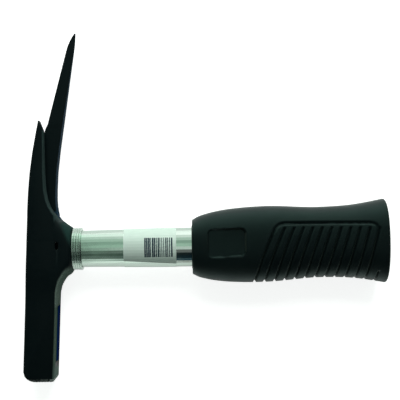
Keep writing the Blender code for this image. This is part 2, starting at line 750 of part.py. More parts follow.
def grip_outer_rings():
    """The grip's outside, from its rounded front edge to the flat middle of its domed butt."""
    rings = []
    front = GRIP_FRONT_RADIUS
    half_height, half_thick = grip_profile(front)
    for depth in (0.0, front / 3):
        inset = quarter_inset(depth, front)
        rings.append((depth, half_height - inset, half_thick - inset))
    for along in np.linspace(front, BARREL_LENGTH, GRIP_STATIONS):
        rings.append((along, *grip_profile(along)))
    half_height, half_thick = grip_profile(BARREL_LENGTH)
    for step in range(1, BUTT_STATIONS + 1):
        angle = math.pi / 2 * step / (BUTT_STATIONS + BUTT_FLAT_SHARE)
        rise = math.sin(angle) ** (2 / BUTT_POWER)
        shrink = math.cos(angle) ** (2 / BUTT_POWER)
        rings.append((BARREL_LENGTH + rise * BUTT_CURVE, half_height * shrink, half_thick * shrink))
    return [oval(GRIP_START + x, y, z, GRIP_POWER, GRIP_STEPS, grip_centre(x)) for x, y, z in rings]


def surface_point(along, height, side):
    """A point of the grip's outside at a height above its middle, and the way that faces out of it there."""
    half_height, half_thick = grip_profile(along)
    ratio = min(max(height / half_height, -1.0), 1.0)
    z = half_thick * (1 - abs(ratio) ** GRIP_POWER) ** (1 / GRIP_POWER)
    out_y = math.copysign(abs(ratio) ** (GRIP_POWER - 1), ratio) / half_height
    out_z = (z / half_thick) ** (GRIP_POWER - 1) / half_thick
    point = Vector((GRIP_START + along, grip_centre(along) + half_height * ratio, side * z))
    return point, Vector((0.0, out_y, side * out_z)).normalized()


def swept_notch(build, path, half_width, depth):
    """A four-sided bar along a path of (point, outward) pairs, whose lower edge cuts a V."""
    rings = []
    for i, (point, out) in enumerate(path):
        ahead = path[min(i + 1, len(path) - 1)][0] - path[max(i - 1, 0)][0]
        across = ahead.cross(out).normalized() * half_width
        rings.append([point + across, point + out * depth, point - across, point - out * depth])
    loft(build, rings)


def groove_along(index, height):
    """Where a groove is at a height: it leans towards the butt, less so the nearer it is to the butt."""
    bottom = grip_profile(GRIP_SWELL_PLACE)[0]
    share = (height + bottom) / (BORDER_HEIGHT + bottom)
    share -= GROOVE_BOW * share * (1 - share)
    lean = GROOVE_LEAN - index * (GROOVE_PITCH - GROOVE_TOP_PITCH)
    return GROOVE_START + index * GROOVE_PITCH + lean * share


def border_height(along):
    """How far the border line stands above the grip's middle: it falls a little towards the butt."""
    return BORDER_HEIGHT - BORDER_FALL * along / BARREL_LENGTH


def border_corner(index):
    """Where a groove's line meets the border line, as (along, height)."""
    height = border_height(groove_along(index, BORDER_HEIGHT))
    return groove_along(index, height), height


def groove_top(index):
    """The height at which a groove stops: under the border, or low down past the border's end."""
    if index == GROOVE_COUNT - 1:
        return GROOVE_LAST_TOP
    return border_corner(index)[1] - GROOVE_BELOW_BORDER


def groove_path(index):
    """From a groove's top on one side, down round the bottom of the grip, to its top on the other side."""
    path = []
    half_bottom = grip_profile(groove_along(index, -BORDER_HEIGHT))[0]
    turn = math.asin(max(groove_top(index), -half_bottom) / half_bottom)
    for side in (1, -1):
        part = []
        for step in range(GROOVE_STEPS + 1):
            level = math.sin(between(turn, -math.pi / 2, step / GROOVE_STEPS))
            along = groove_along(index, level * half_bottom)
            part.append(surface_point(along, level * grip_profile(along)[0], side))
        path += part if side == 1 else list(reversed(part))[1:]
    return path


def turned(start, corner_point, end):
    """Points of a rounded corner between two (along, height) points."""
    points = []
    for share in np.linspace(0, 1, TURN_STEPS + 1):
        first = [between(a, b, share) for a, b in zip(start, corner_point)]
        second = [between(a, b, share) for a, b in zip(corner_point, end)]
        points.append([between(a, b, share) for a, b in zip(first, second)])
    return points


def border_path(side):
    """The line above the grooves. It turns down into the first groove and into the last long one."""
    last = GROOVE_COUNT - 2
    front, top = border_corner(0)
    drop = top - BORDER_FRONT_TURN
    end = front + BORDER_FRONT_TURN
    route = turned((groove_along(0, drop), drop), (front, top), (end, border_height(end)))
    butt, top = border_corner(last)
    drop = top - BORDER_BUTT_TURN
    start = butt - BORDER_BUTT_TURN
    straight = np.linspace(end, start, BORDER_STEPS + 1)[1:-1]
    route += [(along, border_height(along)) for along in straight]
    route += turned((start, border_height(start)), (butt, top), (groove_along(last, drop), drop))
    return [surface_point(along, height, side) for along, height in route]


def panel_cutter(side):
    """A shallow rounded recess in the grip's side, with a flat floor."""
    middle = PANEL_START + PANEL_LENGTH / 2
    low = surface_point(middle, PANEL_TOP - PANEL_HEIGHT, side)[0]
    high = surface_point(middle, PANEL_TOP, side)[0]
    tilt = (high.z - low.z) / PANEL_HEIGHT
    centre = (high + low) / 2
    outline = rounded_outline(PANEL_LENGTH, PANEL_HEIGHT, PANEL_CORNER)

    def place(u, v, level):
        return Vector((centre.x + u, centre.y + v, centre.z + tilt * v + side * level))

    return prism(outline, -PANEL_DEPTH, PANEL_CUTTER_REACH, place)


def skin(build, rings):
    """A skin over rings with its two ends left open."""
    made = [[build.verts.new(point) for point in ring] for ring in rings]
    for first, second in zip(made, made[1:]):
        bridge(build, first, second)
    return made


def make_grip(finish):
    """The soft grip: a blind sleeve over the liner, with its grooves, border line and panels cut in."""
    build = bmesh.new()
    outside = skin(build, grip_outer_rings())
    build.faces.new(outside[-1])
    bore = []
    for place in reversed(tube_stations(GRIP_START, BORE_END)):
        half_height = tube_half_height(place) + BORE_OFFSET
        bore.append(oval(place, half_height, TUBE_THICKNESS / 2 + BORE_OFFSET, steps=GRIP_STEPS))
    inside = skin(build, bore)
    build.faces.new(inside[0])
    bridge(build, inside[-1], outside[0])
    grip = mesh_object("grip_sleeve", build, finish)

    grooves = bmesh.new()
    for index in range(GROOVE_COUNT):
        swept_notch(grooves, groove_path(index), GROOVE_HALF_WIDTH, GROOVE_DEPTH)
    boolean(grip, "DIFFERENCE", mesh_object("groove_cutter", grooves, None), "MANIFOLD")
    for side, name in ((1, "near"), (-1, "far")):
        line = bmesh.new()
        swept_notch(line, border_path(side), BORDER_HALF_WIDTH, BORDER_DEPTH)
        boolean(grip, "DIFFERENCE", mesh_object(f"border_cutter_{name}", line, None), "MANIFOLD")
        boolean(grip, "DIFFERENCE", mesh_object(f"panel_cutter_{name}", panel_cutter(side), None), "MANIFOLD")


def make_liner(finish):
    """The hard sleeve on the tube, with a short lip out of the grip's front."""
    mesh_object("grip_liner", sleeve(LINER_START, LINER_END, FIT, FIT + LINER_WALL), finish)


def make_end_plug(finish):
    """The plug in the butt end of the tube."""
    start = TUBE_END - PLUG_LENGTH
    mesh_object("tube_end_plug", rod(start, TUBE_END, -TUBE_WALL - FIT), finish)


def seat_on_origin():
    """Parents every piece to one empty that puts the middle of the hammer's underside at the origin."""
    bpy.context.view_layer.update()
    graph = bpy.context.evaluated_depsgraph_get()
    pieces = [obj for obj in bpy.context.scene.objects if obj.type == "MESH"]
    corners = []
    for obj in pieces:
        if not obj.hide_render:
            corners += [Vector(point) for point in obj.evaluated_get(graph).bound_box]
    low = Vector([min(point[axis] for point in corners) for axis in range(3)])
    high = Vector([max(point[axis] for point in corners) for axis in range(3)])
    middle = (low + high) / 2
    seat = bpy.data.objects.new("hammer", None)
    bpy.context.scene.collection.objects.link(seat)
    for obj in pieces:
        obj.parent = seat
    seat.location = (-middle.x, -middle.y, -low.z)
    bpy.context.view_layer.update()
    print("eye at", tuple(round(value, 5) for value in seat.location))
    print("size", tuple(round(value, 5) for value in high - low))


def main():
    clear_scene()
    make_head(material("black_lacquered_steel", (0.012, 0.017, 0.019), 0.38, 0.2))
    make_strip(material("navy_plastic", (0.012, 0.02, 0.06), 0.45, 0.0))
    make_magnet(material("magnet_nickel", (0.55, 0.56, 0.56), 0.3, 1.0))
    make_tube(material("zinc_plated_tube", (0.62, 0.68, 0.64), 0.28, 1.0))
    make_core(material("core_steel", (0.35, 0.36, 0.37), 0.45, 1.0))
    make_pin(material("pin_steel", (0.02, 0.022, 0.025), 0.5, 0.6))
    make_collar(material("collar_plating", (0.66, 0.72, 0.68), 0.22, 1.0))
    make_label(material("label_film", (0.78, 0.84, 0.79), 0.5, 0.0))
    make_liner(material("liner_plastic", (0.012, 0.014, 0.015), 0.4, 0.0))
    make_grip(material("grip_rubber", (0.016, 0.02, 0.02), 0.62, 0.0))
    make_end_plug(material("plug_plastic", (0.03, 0.03, 0.03), 0.6, 0.0))
    seat_on_origin()


main()
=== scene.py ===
"""Looks of the lathing hammer: finishes, moulded grip, milled striking face, studio light and camera.

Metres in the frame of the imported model. Shapes are worked out in millimetres about the eye,
the point where the handle's centre line crosses the head.
X runs along the handle, Y up the head, and Z towards the short tine's side.
"""

import math

import bmesh
import bpy
import numpy as np
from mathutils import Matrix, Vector


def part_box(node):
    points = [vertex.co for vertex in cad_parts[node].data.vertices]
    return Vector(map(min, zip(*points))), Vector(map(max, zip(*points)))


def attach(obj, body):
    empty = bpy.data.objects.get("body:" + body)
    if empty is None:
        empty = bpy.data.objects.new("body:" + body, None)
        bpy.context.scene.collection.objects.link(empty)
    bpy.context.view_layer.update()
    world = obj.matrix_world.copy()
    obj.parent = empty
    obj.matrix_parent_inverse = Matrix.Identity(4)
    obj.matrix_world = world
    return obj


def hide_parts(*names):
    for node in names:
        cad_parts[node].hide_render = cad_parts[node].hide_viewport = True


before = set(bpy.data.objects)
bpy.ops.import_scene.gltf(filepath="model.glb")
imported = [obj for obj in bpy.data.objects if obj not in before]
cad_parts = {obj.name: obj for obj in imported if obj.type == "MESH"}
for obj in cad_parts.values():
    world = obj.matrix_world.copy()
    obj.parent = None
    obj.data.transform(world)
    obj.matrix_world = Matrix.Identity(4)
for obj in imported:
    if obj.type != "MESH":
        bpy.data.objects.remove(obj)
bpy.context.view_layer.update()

MM = 0.001

# The eye and the corners of some nodes, in millimetres of the frame
EYE_TO_TUBE_END = 3.2
TUBE_LOW, TUBE_HIGH = (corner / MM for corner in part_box("handle_tube"))
EYE = Vector((TUBE_LOW.x + EYE_TO_TUBE_END, (TUBE_LOW.y + TUBE_HIGH.y) / 2, (TUBE_LOW.z + TUBE_HIGH.z) / 2))
GRIP_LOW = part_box("grip_sleeve")[0] / MM
HEAD_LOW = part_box("hammer_head")[0] / MM
LABEL_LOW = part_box("tube_label")[0] / MM
STRIP_LOW, STRIP_HIGH = (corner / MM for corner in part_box("magnet_strip"))

# The striking face and the ends of the strip, in millimetres about the eye
FACE = HEAD_LOW.y - EYE.y
STRIP_BOTTOM, STRIP_TOP = STRIP_LOW.y - EYE.y, STRIP_HIGH.y - EYE.y
STRIP_FAR, STRIP_NEAR = STRIP_LOW.z - EYE.z, STRIP_HIGH.z - EYE.z

# Camera: straight above the hammer, at the photograph's angle
CAMERA_OFFSET = Vector((132.2, 38.5, 627.0))
CAMERA_TURN = math.radians(-1.0)
CAMERA_VIEW = math.radians(29.49)
CAMERA_NEAR = 0.05
CAMERA_FAR = 20.0

# Grip, as the solid has it
GRIP_START = GRIP_LOW.x - EYE.x
GRIP_LENGTH = 160.2
GRIP_RISE = 2.6
GRIP_POWER = 2.3
FRONT_RADIUS = 1.1
BUTT_CURVE = 3.2
BUTT_POWER = 3.1
BARREL_LENGTH = GRIP_LENGTH - BUTT_CURVE
END_WALL = 12.0
BORE_GAP = 1.9
TUBE_HALF_HEIGHT = 16.1
TUBE_HALF_THICKNESS = 11.8
SWELL_PLACE = 60.0
WAIST_PLACE = 106.0
FRONT_WALL, SWELL_WALL, WAIST_WALL, BUTT_WALL = 4.1, 13.2, 11.0, 16.4
FRONT_SIDE, SWELL_SIDE, WAIST_SIDE, BUTT_SIDE = 2.4, 5.8, 4.8, 7.0
SWELL_GROWTH = ((0, 0), (0.06, 0.23), (0.2, 0.53), (0.4, 0.78), (0.65, 0.935), (1, 1))
BUTT_GROWTH = ((0.55, 0.28), (0.82, 0.68), (1, 1))
SIDE_GROWTH = (0.3, 0.65)

# Grooves of the grip
GROOVE_COUNT = 13
GROOVE_START = 50.4
GROOVE_PITCH = 8.2
GROOVE_TOP_PITCH = 7.55
GROOVE_LEAN = 19.35
GROOVE_BOW = 0.35
GROOVE_BELOW_BORDER = 2.3
GROOVE_LAST_TOP = -23.0
GROOVE_FADE = 2.4
GROOVE_HALF_WIDTH = 1.4
GROOVE_DEPTHS = ((-40.0, 2.4), (-26.0, 2.2), (-12.0, 1.9), (4.0, 1.8), (16.0, 1.6))
NOTCH_POWER = 1.0

# Border line above the grooves, and the lip under it
BORDER_HEIGHT = 18.5
BORDER_FALL = 3.3
BORDER_FRONT_TURN = 6.0
BORDER_BUTT_TURN = 10.0
BORDER_HALF_WIDTH = 1.7
BORDER_DEPTH = 1.4
LIP_HEIGHT = 0.45
LIP_AWAY = 2.5
LIP_HALF_WIDTH = 1.2

# Panel of the grip
PANEL_START = 12.8
PANEL_LENGTH = 30.2
PANEL_TOP = 14.4
PANEL_HEIGHT = 22.8
PANEL_CORNER = 4.0
PANEL_WALL = 0.7
PANEL_DEPTH = 0.15
PANEL_DEEPER_TO_BUTT = 0.5
PANEL_DEEPER_TO_TOP = 0.5

# Fineness of the grip
GRIP_STEPS = 320
GRIP_SPACING = ((FRONT_RADIUS, 12.0, 1.2), (12.0, 44.0, 0.45), (44.0, 47.0, 1.0), (47.0, BARREL_LENGTH, 0.4))
TURN_STEPS = 8
BUTT_STEPS = 14
BUTT_FLAT_SHARE = 0.15
FRONT_TURNS = (0, 22, 45, 67)
OVAL_POWER = 2.0
STEEPEST_FACING = 0.3
GRIP_SHARP_ANGLE = math.radians(50)

# Milling of the striking face
MILLING_PITCH = 2.3
MILLING_DEPTH = 0.75
MILLING_HALF_WIDTH = 0.85
MILLING_OVER = 0.6
MILLING_MARGIN = 4.0
MILLING_REACH = 30.0
MILLING_SIDE = 14.0
MILLING_BEYOND = 4.0
MILLING_ROWS = 15
MILLING_COLUMNS = 13
WELD_DISTANCE = 0.001
HEAD_SHARP_ANGLE = math.radians(35)

# Noise of the finishes: detail, contrast, and the edge finder of worn edges
COARSE_DETAIL, PLAIN_DETAIL, FINE_DETAIL = 4.0, 3.0, 2.0
SOFT_CONTRAST = (0.3, 0.7)
EDGE_SAMPLES = 4
EDGE_DOTS = (0.99, 0.86)

# Lacquer of the head: pairs of tones, roughness, grain to the metre, and relief as (millimetres, strength)
LACQUER_TONES = (0.0022, 0.0056, 0.0066), (0.0034, 0.0074, 0.0082)
LACQUER_ROUGHNESS = (0.36, 0.46)
LACQUER_GLOSS = 0.16
DULL_ROUGHER = 0.5
FORGE_GRAIN, FORGE_FINE_GRAIN = 260.0, 2600.0
FORGE_RELIEF, FORGE_FINE_RELIEF = (0.12, 0.6), (0.02, 0.5)
FORGE_RADIUS = 1.6
FORGE_SAMPLES = 6
WORN_RADIUS = 0.9
WORN_GRAIN = 420.0
WORN_CONTRAST = (0.42, 0.62)
WORN_SHARE = 0.35
WORN_TONE = (0.06, 0.075, 0.07)

# Bare steel of the milled face, lit towards the handle: places in millimetres about the eye
MILLED_EDGE = (FACE + 3.2, FACE + 2.4)
MILLED_LIGHT = (5.0, 11.0)
MILLED_LIGHT_SHARES = (0.25, 1.0)
SPECKLE_GRAIN = 620.0
SPECKLE_CONTRAST = (0.4, 0.6)
BARE_TONE = (0.42, 0.47, 0.44)
BARE_METAL = 0.4

# Painted light on the poll: a painted highlight on its side that faces the handle and on its heel, and
# painted shade past the strip's far edge
POLL_SIDE_FACING = (0.35, 0.9)
POLL_SIDE_TOP = (-12.0, -18.0)
POLL_SIDE_ABOVE_STRIP = (STRIP_TOP - 1.0, STRIP_TOP + 2.0)
POLL_SIDE_HIGHLIGHT_TONES = (0.11, 0.165, 0.125), (0.21, 0.28, 0.24)
MOTTLE_GRAIN = 1100.0
MOTTLE_CONTRAST = (0.25, 0.75)
MOTTLE_SHARES = (0.5, 1.0)
HEEL_TOP = (FACE + 17.0, FACE + 9.0)
HEEL_EDGE = (11.0, 6.0)
HEEL_HIGHLIGHT_TONES = (0.075, 0.115, 0.1), (0.13, 0.19, 0.165)
STRIP_SHADE_EDGE = (STRIP_FAR + 1.0, STRIP_FAR - 0.3)
STRIP_SHADE_SOFTNESS = 0.6
STRIP_SHADE_TONE = (0.0015, 0.008, 0.09)

# Painted highlight on the boss: slope and place of its line, then (low, high, softness) along the head
BOSS_LIGHT_SLOPE = 0.43
BOSS_LIGHT_LINE = 28.0
BOSS_LIGHT_SOFTNESS = 2.0
BOSS_LIGHT_SPAN = (4.0, 26.0, 7.0)
BOSS_HIGHLIGHT_TONE = (0.012, 0.034, 0.03)

# Painted highlights on the backs of the tine and the spike
CLAW_BACK_FACING = (0.3, 0.8)
CLAW_BACK_START = (20.0, 27.0)
NEAR_HALF = (0.0, 1.0)
TINE_BACK_END = (98.0, 96.0)
TINE_BACK_HIGHLIGHT_TONE = (0.02, 0.038, 0.037)
SPIKE_BACK_SHARE = 0.85
SPIKE_BACK_HIGHLIGHT_TONE = (0.009, 0.032, 0.06)

# Zinc plate: stretch of the fine marks, spangle's scale and stretch, roughness, depth of the dents
TUBE_MARKS = ((0.06, 1, 1), 150.0, (1, 1, 1), 0.05, 0.05)
COLLAR_MARKS = ((1, 0.4, 0.4), 260.0, (1, 0.5, 0.5), 0.17, 0.12)
ZINC_TONES = (0.57, 0.67, 0.6), (0.64, 0.75, 0.68)
ZINC_GRAIN = 900.0
ZINC_RELIEF = (0.012, 0.6)
ZINC_DENT_STRENGTH = 0.4
ZINC_MARKS_ROUGHER, ZINC_CLOUD_ROUGHER = 0.06, 0.05

# Label: its slanting lower edge below the handle's line, a painted shadow along that edge, and its generic
# bars from its head end
LABEL_EDGE = 10.0
LABEL_EDGE_FALL = 2.8
LABEL_EDGE_SOFTNESS = 0.2
LABEL_WIDTH = 42.8
LABEL_EDGE_SHADE = (-0.1, 0.35, 0.1)
LABEL_EDGE_SHADE_TONE = (0.4, 0.5, 0.43)
BAR_PITCH = 1.55
BAR_SHARES = (0.4, 0.9)
BARS_ALONG = (16.9, 39.9)
BARS_UP = (-7.2, 8.5)
BARS_SOFTNESS = 0.1
INK_TONE = (0.012, 0.024, 0.05)
PAPER_TONES = (0.66, 0.79, 0.71), (0.73, 0.86, 0.78)
PAPER_GRAIN, FILM_GRAIN, FILM_FINE_GRAIN = 120.0, 300.0, 700.0
FILM_ROUGHNESS = (0.16, 0.24)
FILM_RELIEF = (0.02, 0.4)

# Rubber of the grip
RUBBER_TONES = (0.0008, 0.0019, 0.0028), (0.0014, 0.0029, 0.0038)
RUBBER_ROUGHNESS = (0.4, 0.47)
RUBBER_SMOOTHER = 0.07
RUBBER_GRAIN, RUBBER_CLOUD = 3800.0, 90.0
RUBBER_RELIEF = (0.045, 0.7)
RUBBER_LOOK = {
    "specular_ior_level": 0.5,
    "specular_tint": (0.68, 1.0, 0.96, 1.0),
    "sheen_weight": 0.1,
    "sheen_roughness": 0.4,
    "sheen_tint": (0.62, 0.9, 0.72, 1.0),
}
PANEL_MIDDLE_RISE = GRIP_RISE / 3
PANEL_SOFTNESS = 0.6
GROOVES_SOFTNESS = 1.0

# Plastic and steel of the small parts: rows of a node and what moulded_plastic or steel takes
PLASTIC_GLOSS = 0.15
PLASTIC_ROUGHER = 0.1
PLASTIC_CLOUD, PLASTIC_GRAIN, PLASTIC_WEAR = 200.0, 2400.0, 500.0
PLASTIC_RELIEF = (0.02, 0.5)
NAVY_TONES = (0.0012, 0.014, 0.09), (0.002, 0.022, 0.15)
NAVY_GLOSS = 0.02
# Painted shade: green-grey along the strip's near edge, as (low, high, tone above)
NAVY_SHADED_EDGE = (STRIP_NEAR - 7.0, STRIP_NEAR - 5.5, (0.02, 0.075, 0.045))
PLASTIC_PARTS = (
    ("magnet_strip", "navy_plastic", NAVY_TONES, 0.9, NAVY_GLOSS, NAVY_SHADED_EDGE),
    ("grip_liner", "liner_plastic", ((0.008, 0.01, 0.011), (0.014, 0.017, 0.018)), 0.35),
    ("tube_end_plug", "plug_plastic", ((0.025, 0.025, 0.025), (0.035, 0.035, 0.035)), 0.55),
)
STEEL_GRAIN = 1100.0
STEEL_STRETCH = (1, 0.2, 0.2)
STEEL_RELIEF = (0.015, 0.5)
STEEL_ROUGHER = 0.12
STEEL_PARTS = (
    ("lock_pin", "pin_steel", ((0.002, 0.003, 0.004), (0.004, 0.005, 0.006)), 0.6),
    ("tube_core", "core_steel", ((0.3, 0.31, 0.32), (0.4, 0.41, 0.42)), 0.4),
    ("nail_magnet", "magnet_nickel", ((0.5, 0.51, 0.5), (0.6, 0.61, 0.6)), 0.25),
)

# Lamp and floor, in metres
LAMP_PLACE = Vector((0.1, 1.0, 0.75))
LAMP_SIZE = 0.9
LAMP_POWER = 12.0
FLOOR_HALF = 3.0
FLOOR_HEIGHT = -0.0002
FLOOR_TONE = (0.86, 0.87, 0.86, 1.0)
FLOOR_GLOW = 0.85
FLOOR_GLOW_IN_METAL = 0.4
WHITE = (1.0, 1.0, 1.0, 1.0)

# Turns round the handle's line: degrees in a full one, and the share of it that is straight up
FULL_TURN = 360.0
STRAIGHT_UP = 0.5

# Light tent over the tube's collar end, over its grip end, and over head and grip, in rows for tent_walls
TENT_OVER_COLLAR = (
    (-180, 0.9, 0.2),
    (-111, 1.0, 0.2),
    (-84, 0.95, 0.3),
    (-72, 1.5, 0.3),
    (-65, 0.9, 0.4),
    (-58, 0.55, 0.5),
    (-50, 0.3, 0.7),
    (-42, 0.16, 0.95),
    (-28, 0.18, 0.95),
    (-20, 0.24, 0.95),
    (-13, 0.22, 0.9),
    (-3, 0.44, 0.9),
    (8, 0.6, 0.9),
    (20, 0.52, 0.95),
    (30, 0.47, 1.0),
    (42, 0.66, 0.8),
    (58, 0.74, 0.5),
    (76, 1.25, 0.3),
    (95, 1.05, 0.2),
    (134, 0.9, 0.2),
    (180, 0.85, 0.2),
)
TENT_OVER_GRIP = (
    (-180, 0.9, 0.2),
    (-111, 1.0, 0.2),
    (-93, 1.9, 0.1),
    (-84, 1.7, 0.1),
    (-79, 0.8, 0.1),
    (-76, 0.15, 0.0),
    (-72, 0.05, -0.4),
    (-68, 0.04, -0.6),
    (-62, 0.09, -0.9),
    (-54, 0.035, -1.0),
    (-33, 0.008, -1.0),
    (-27, 0.03, -0.6),
    (-20, 0.09, -0.1),
    (-13, 0.29, 0.0),
    (-7, 0.66, 0.1),
    (-1, 0.82, 0.4),
    (5, 0.83, 0.7),
    (13, 0.54, 0.9),
    (22, 0.44, 0.9),
    (36, 0.68, 0.6),
    (54, 1.0, 0.2),
    (72, 1.5, 0.0),
    (95, 1.3, 0.1),
    (180, 0.9, 0.2),
)
TENT_OVER_ENDS = (
    (-180, 0.9, 0.2),
    (-111, 0.8, 0.2),
    (-92, 0.45, 0.4),
    (-72, 0.08, 0.3),
    (-50, 0.02, -0.3),
    (-20, 0.02, -0.3),
    (8, 0.03, -0.1),
    (28, 0.17, 0.4),
    (52, 0.75, 0.8),
    (76, 1.2, 0.8),
    (100, 1.25, 0.6),
    (180, 0.9, 0.2),
)

# Where the tables give way to each other, by the X of a direction of length 1, and the tent's two dark ends
TENT_TURNS = (-0.16, -0.03)
TENT_TUBE_STARTS = (-0.175, -0.155)
TENT_TUBE_ENDS = (0.06, 0.0)
TENT_ENDS_SPAN = (0.45, 0.85)
TENT_ENDS = (0.08, 0.11, 0.1)
TENT_GREEN = (0.66, 1.0, 0.8)
TENT_BLUE = (0.25, 0.7, 1.0)


def about_eye(point):
    """A point in millimetres about the eye, in the frame's metres."""
    return (Vector(point) + EYE) * MM


def between(start, end, share):
    return start + (end - start) * share


def smooth_step(values, low, high):
    share = np.clip((values - low) / (high - low), 0.0, 1.0)
    return share * share * (3 - 2 * share)


def through(points, places):
    """A smooth curve through (place, value) points, read at an array of places."""
    known, values = np.array(points, float).T
    slopes = np.gradient(values, known)
    i = np.clip(np.searchsorted(known, places) - 1, 0, len(known) - 2)
    width = known[i + 1] - known[i]
    t = np.clip((places - known[i]) / width, 0.0, 1.0)
    return (
        values[i] * (1 + 2 * t) * (1 - t) ** 2
        + values[i + 1] * t * t * (3 - 2 * t)
        + width * slopes[i] * t * (1 - t) ** 2
        - width * slopes[i + 1] * t * t * (1 - t)
    )


def signed_power(values, power):
    return np.sign(values) * np.abs(values) ** power


# Shape of the grip


def grip_profile(along):
    """(half height, half thickness) of the grip at distances from its front."""
    walls = [
        (SWELL_PLACE * place, between(FRONT_WALL, SWELL_WALL, growth))
        for place, growth in SWELL_GROWTH
    ]
    walls.append((WAIST_PLACE, WAIST_WALL))
    walls += [
        (between(WAIST_PLACE, BARREL_LENGTH, place), between(WAIST_WALL, BUTT_WALL, growth))
        for place, growth in BUTT_GROWTH
    ]
    side_place, side_growth = SIDE_GROWTH
    sides = [
        (0.0, FRONT_SIDE),
        (side_place * SWELL_PLACE, between(FRONT_SIDE, SWELL_SIDE, side_growth)),
        (SWELL_PLACE, SWELL_SIDE),
        (WAIST_PLACE, WAIST_SIDE),
        (BARREL_LENGTH, BUTT_SIDE),
    ]
    half_height = TUBE_HALF_HEIGHT + BORE_GAP + through(walls, along)
    return half_height, TUBE_HALF_THICKNESS + BORE_GAP + through(sides, along)


def grip_centre(along):
    return GRIP_RISE * np.sin(math.pi / 2 * along / GRIP_LENGTH)


GRIP_BOTTOM = float(grip_profile(np.array([SWELL_PLACE]))[0][0])


def groove_along(index, height):
    """Where a groove is at a height above the grip's middle."""
    share = (height + GRIP_BOTTOM) / (BORDER_HEIGHT + GRIP_BOTTOM)
    share = share - GROOVE_BOW * share * (1 - share)
    lean = GROOVE_LEAN - index * (GROOVE_PITCH - GROOVE_TOP_PITCH)
    return GROOVE_START + index * GROOVE_PITCH + lean * share


def border_height(along):
    """How far the border line stands above the grip's middle."""
    return BORDER_HEIGHT - BORDER_FALL * along / BARREL_LENGTH


def border_corner(index):
    """Where a groove's line meets the border line, as (along, height)."""
    height = border_height(groove_along(index, BORDER_HEIGHT))
    return groove_along(index, height), height


def notch(distance, half_width):
    """1 in the bottom of a V with soft shoulders, 0 outside it."""
    return np.clip(1 - np.abs(distance) / half_width, 0.0, 1.0) ** NOTCH_POWER


def groove_depth(along, height, facing):
    """Depth of the slanting grooves at points of the grip."""
    depth = np.zeros_like(along)
    deepest = through(GROOVE_DEPTHS, height)
    for index in range(GROOVE_COUNT):
        centre = groove_along(index, height)
        lean = groove_along(index, height + 0.5) - groove_along(index, height - 0.5)
        distance = (along - centre) / np.sqrt(1 + (lean * facing) ** 2)
        top = GROOVE_LAST_TOP if index == GROOVE_COUNT - 1 else border_height(along) - GROOVE_BELOW_BORDER
        shown = 1 - smooth_step(height, top - GROOVE_FADE, top)
        depth = np.maximum(depth, deepest * shown * notch(distance, GROOVE_HALF_WIDTH))
    return depth


def turned(start, corner_point, end):
    """Points of a rounded corner between two (along, height) points."""
    points = []
    for share in np.linspace(0, 1, TURN_STEPS + 1):
        first = [between(a, b, share) for a, b in zip(start, corner_point)]
        second = [between(a, b, share) for a, b in zip(corner_point, end)]
        points.append([between(a, b, share) for a, b in zip(first, second)])
    return points


def border_route():
    """The line above the grooves, from inside the first groove to inside the last long one."""
    last = GROOVE_COUNT - 2
    front, top = border_corner(0)
    drop = top - BORDER_FRONT_TURN
    end = front + BORDER_FRONT_TURN
    route = turned((groove_along(0, drop), drop), (front, top), (end, border_height(end)))
    butt, top = border_corner(last)
    drop = top - BORDER_BUTT_TURN
    start = butt - BORDER_BUTT_TURN
    route += turned((start, border_height(start)), (butt, top), (groove_along(last, drop), drop))
    return np.array(route)


def border_distance(along, height, facing):
    """Distance to the border line, measured on the grip's skin."""
    route = border_route()
    nearest = np.full(along.shape, GRIP_LENGTH)
    stretch = 1 / np.clip(facing, STEEPEST_FACING, 1.0)
    for start, end in zip(route, route[1:]):
        run = end - start
        share = ((along - start[0]) * run[0] + (height - start[1]) * run[1]) / (run @ run)
        share = np.clip(share, 0.0, 1.0)
        away = along - start[0] - share * run[0]
        rise = (height - start[1] - share * run[1]) * stretch
        nearest = np.minimum(nearest, np.hypot(away, rise))
    return nearest


def border_depth(along, height, facing):
    """Depth of the border line, less the lip that stands up inside it."""
    distance = border_distance(along, height, facing)
    line = border_height(along)
    first, last = (groove_along(index, height) for index in (0, GROOVE_COUNT - 2))
    inside = (along > first) & (along < last) & (height < line)
    near_line = height > line - BORDER_BUTT_TURN
    lip = LIP_HEIGHT * np.clip(1 - np.abs(distance - LIP_AWAY) / LIP_HALF_WIDTH, 0.0, 1.0)
    return BORDER_DEPTH * notch(distance, BORDER_HALF_WIDTH) - np.where(inside & near_line, lip, 0.0)


def panel_depth(along, height, depth, facing):
    """Depth of the blank panel: a rounded rectangle with a flat floor, deeper to its top and the butt."""
    x = np.abs(along - PANEL_START - PANEL_LENGTH / 2) - PANEL_LENGTH / 2 + PANEL_CORNER
    y = np.abs(height - PANEL_TOP + PANEL_HEIGHT / 2) - PANEL_HEIGHT / 2 + PANEL_CORNER
    outside = np.hypot(np.maximum(x, 0), np.maximum(y, 0)) + np.minimum(np.maximum(x, y), 0) - PANEL_CORNER
    to_butt = np.clip((along - PANEL_START) / PANEL_LENGTH, 0.0, 1.0)
    to_top = np.clip((height - PANEL_TOP) / PANEL_HEIGHT + 1, 0.0, 1.0)
    half_height, half_thick = grip_profile(np.full_like(along, PANEL_START))
    levels = [(abs(place) / half_height) ** GRIP_POWER for place in (PANEL_TOP - PANEL_HEIGHT, PANEL_TOP)]
    bottom, top = (half_thick * (1 - level) ** (1 / GRIP_POWER) for level in levels)
    floor = between(bottom, top, to_top) - PANEL_DEPTH
    floor -= PANEL_DEEPER_TO_BUTT * to_butt + PANEL_DEEPER_TO_TOP * to_top
    sunk = np.maximum(np.abs(depth) - floor, 0) * facing
    return sunk * (1 - smooth_step(outside, -PANEL_WALL / 2, PANEL_WALL / 2))


def superellipse(power, steps):
    """(height, depth) shares of a ring of points."""
    angle = 2 * math.pi * (np.arange(steps) + 0.5) / steps
    return signed_power(np.sin(angle), 2 / power), signed_power(np.cos(angle), 2 / power)


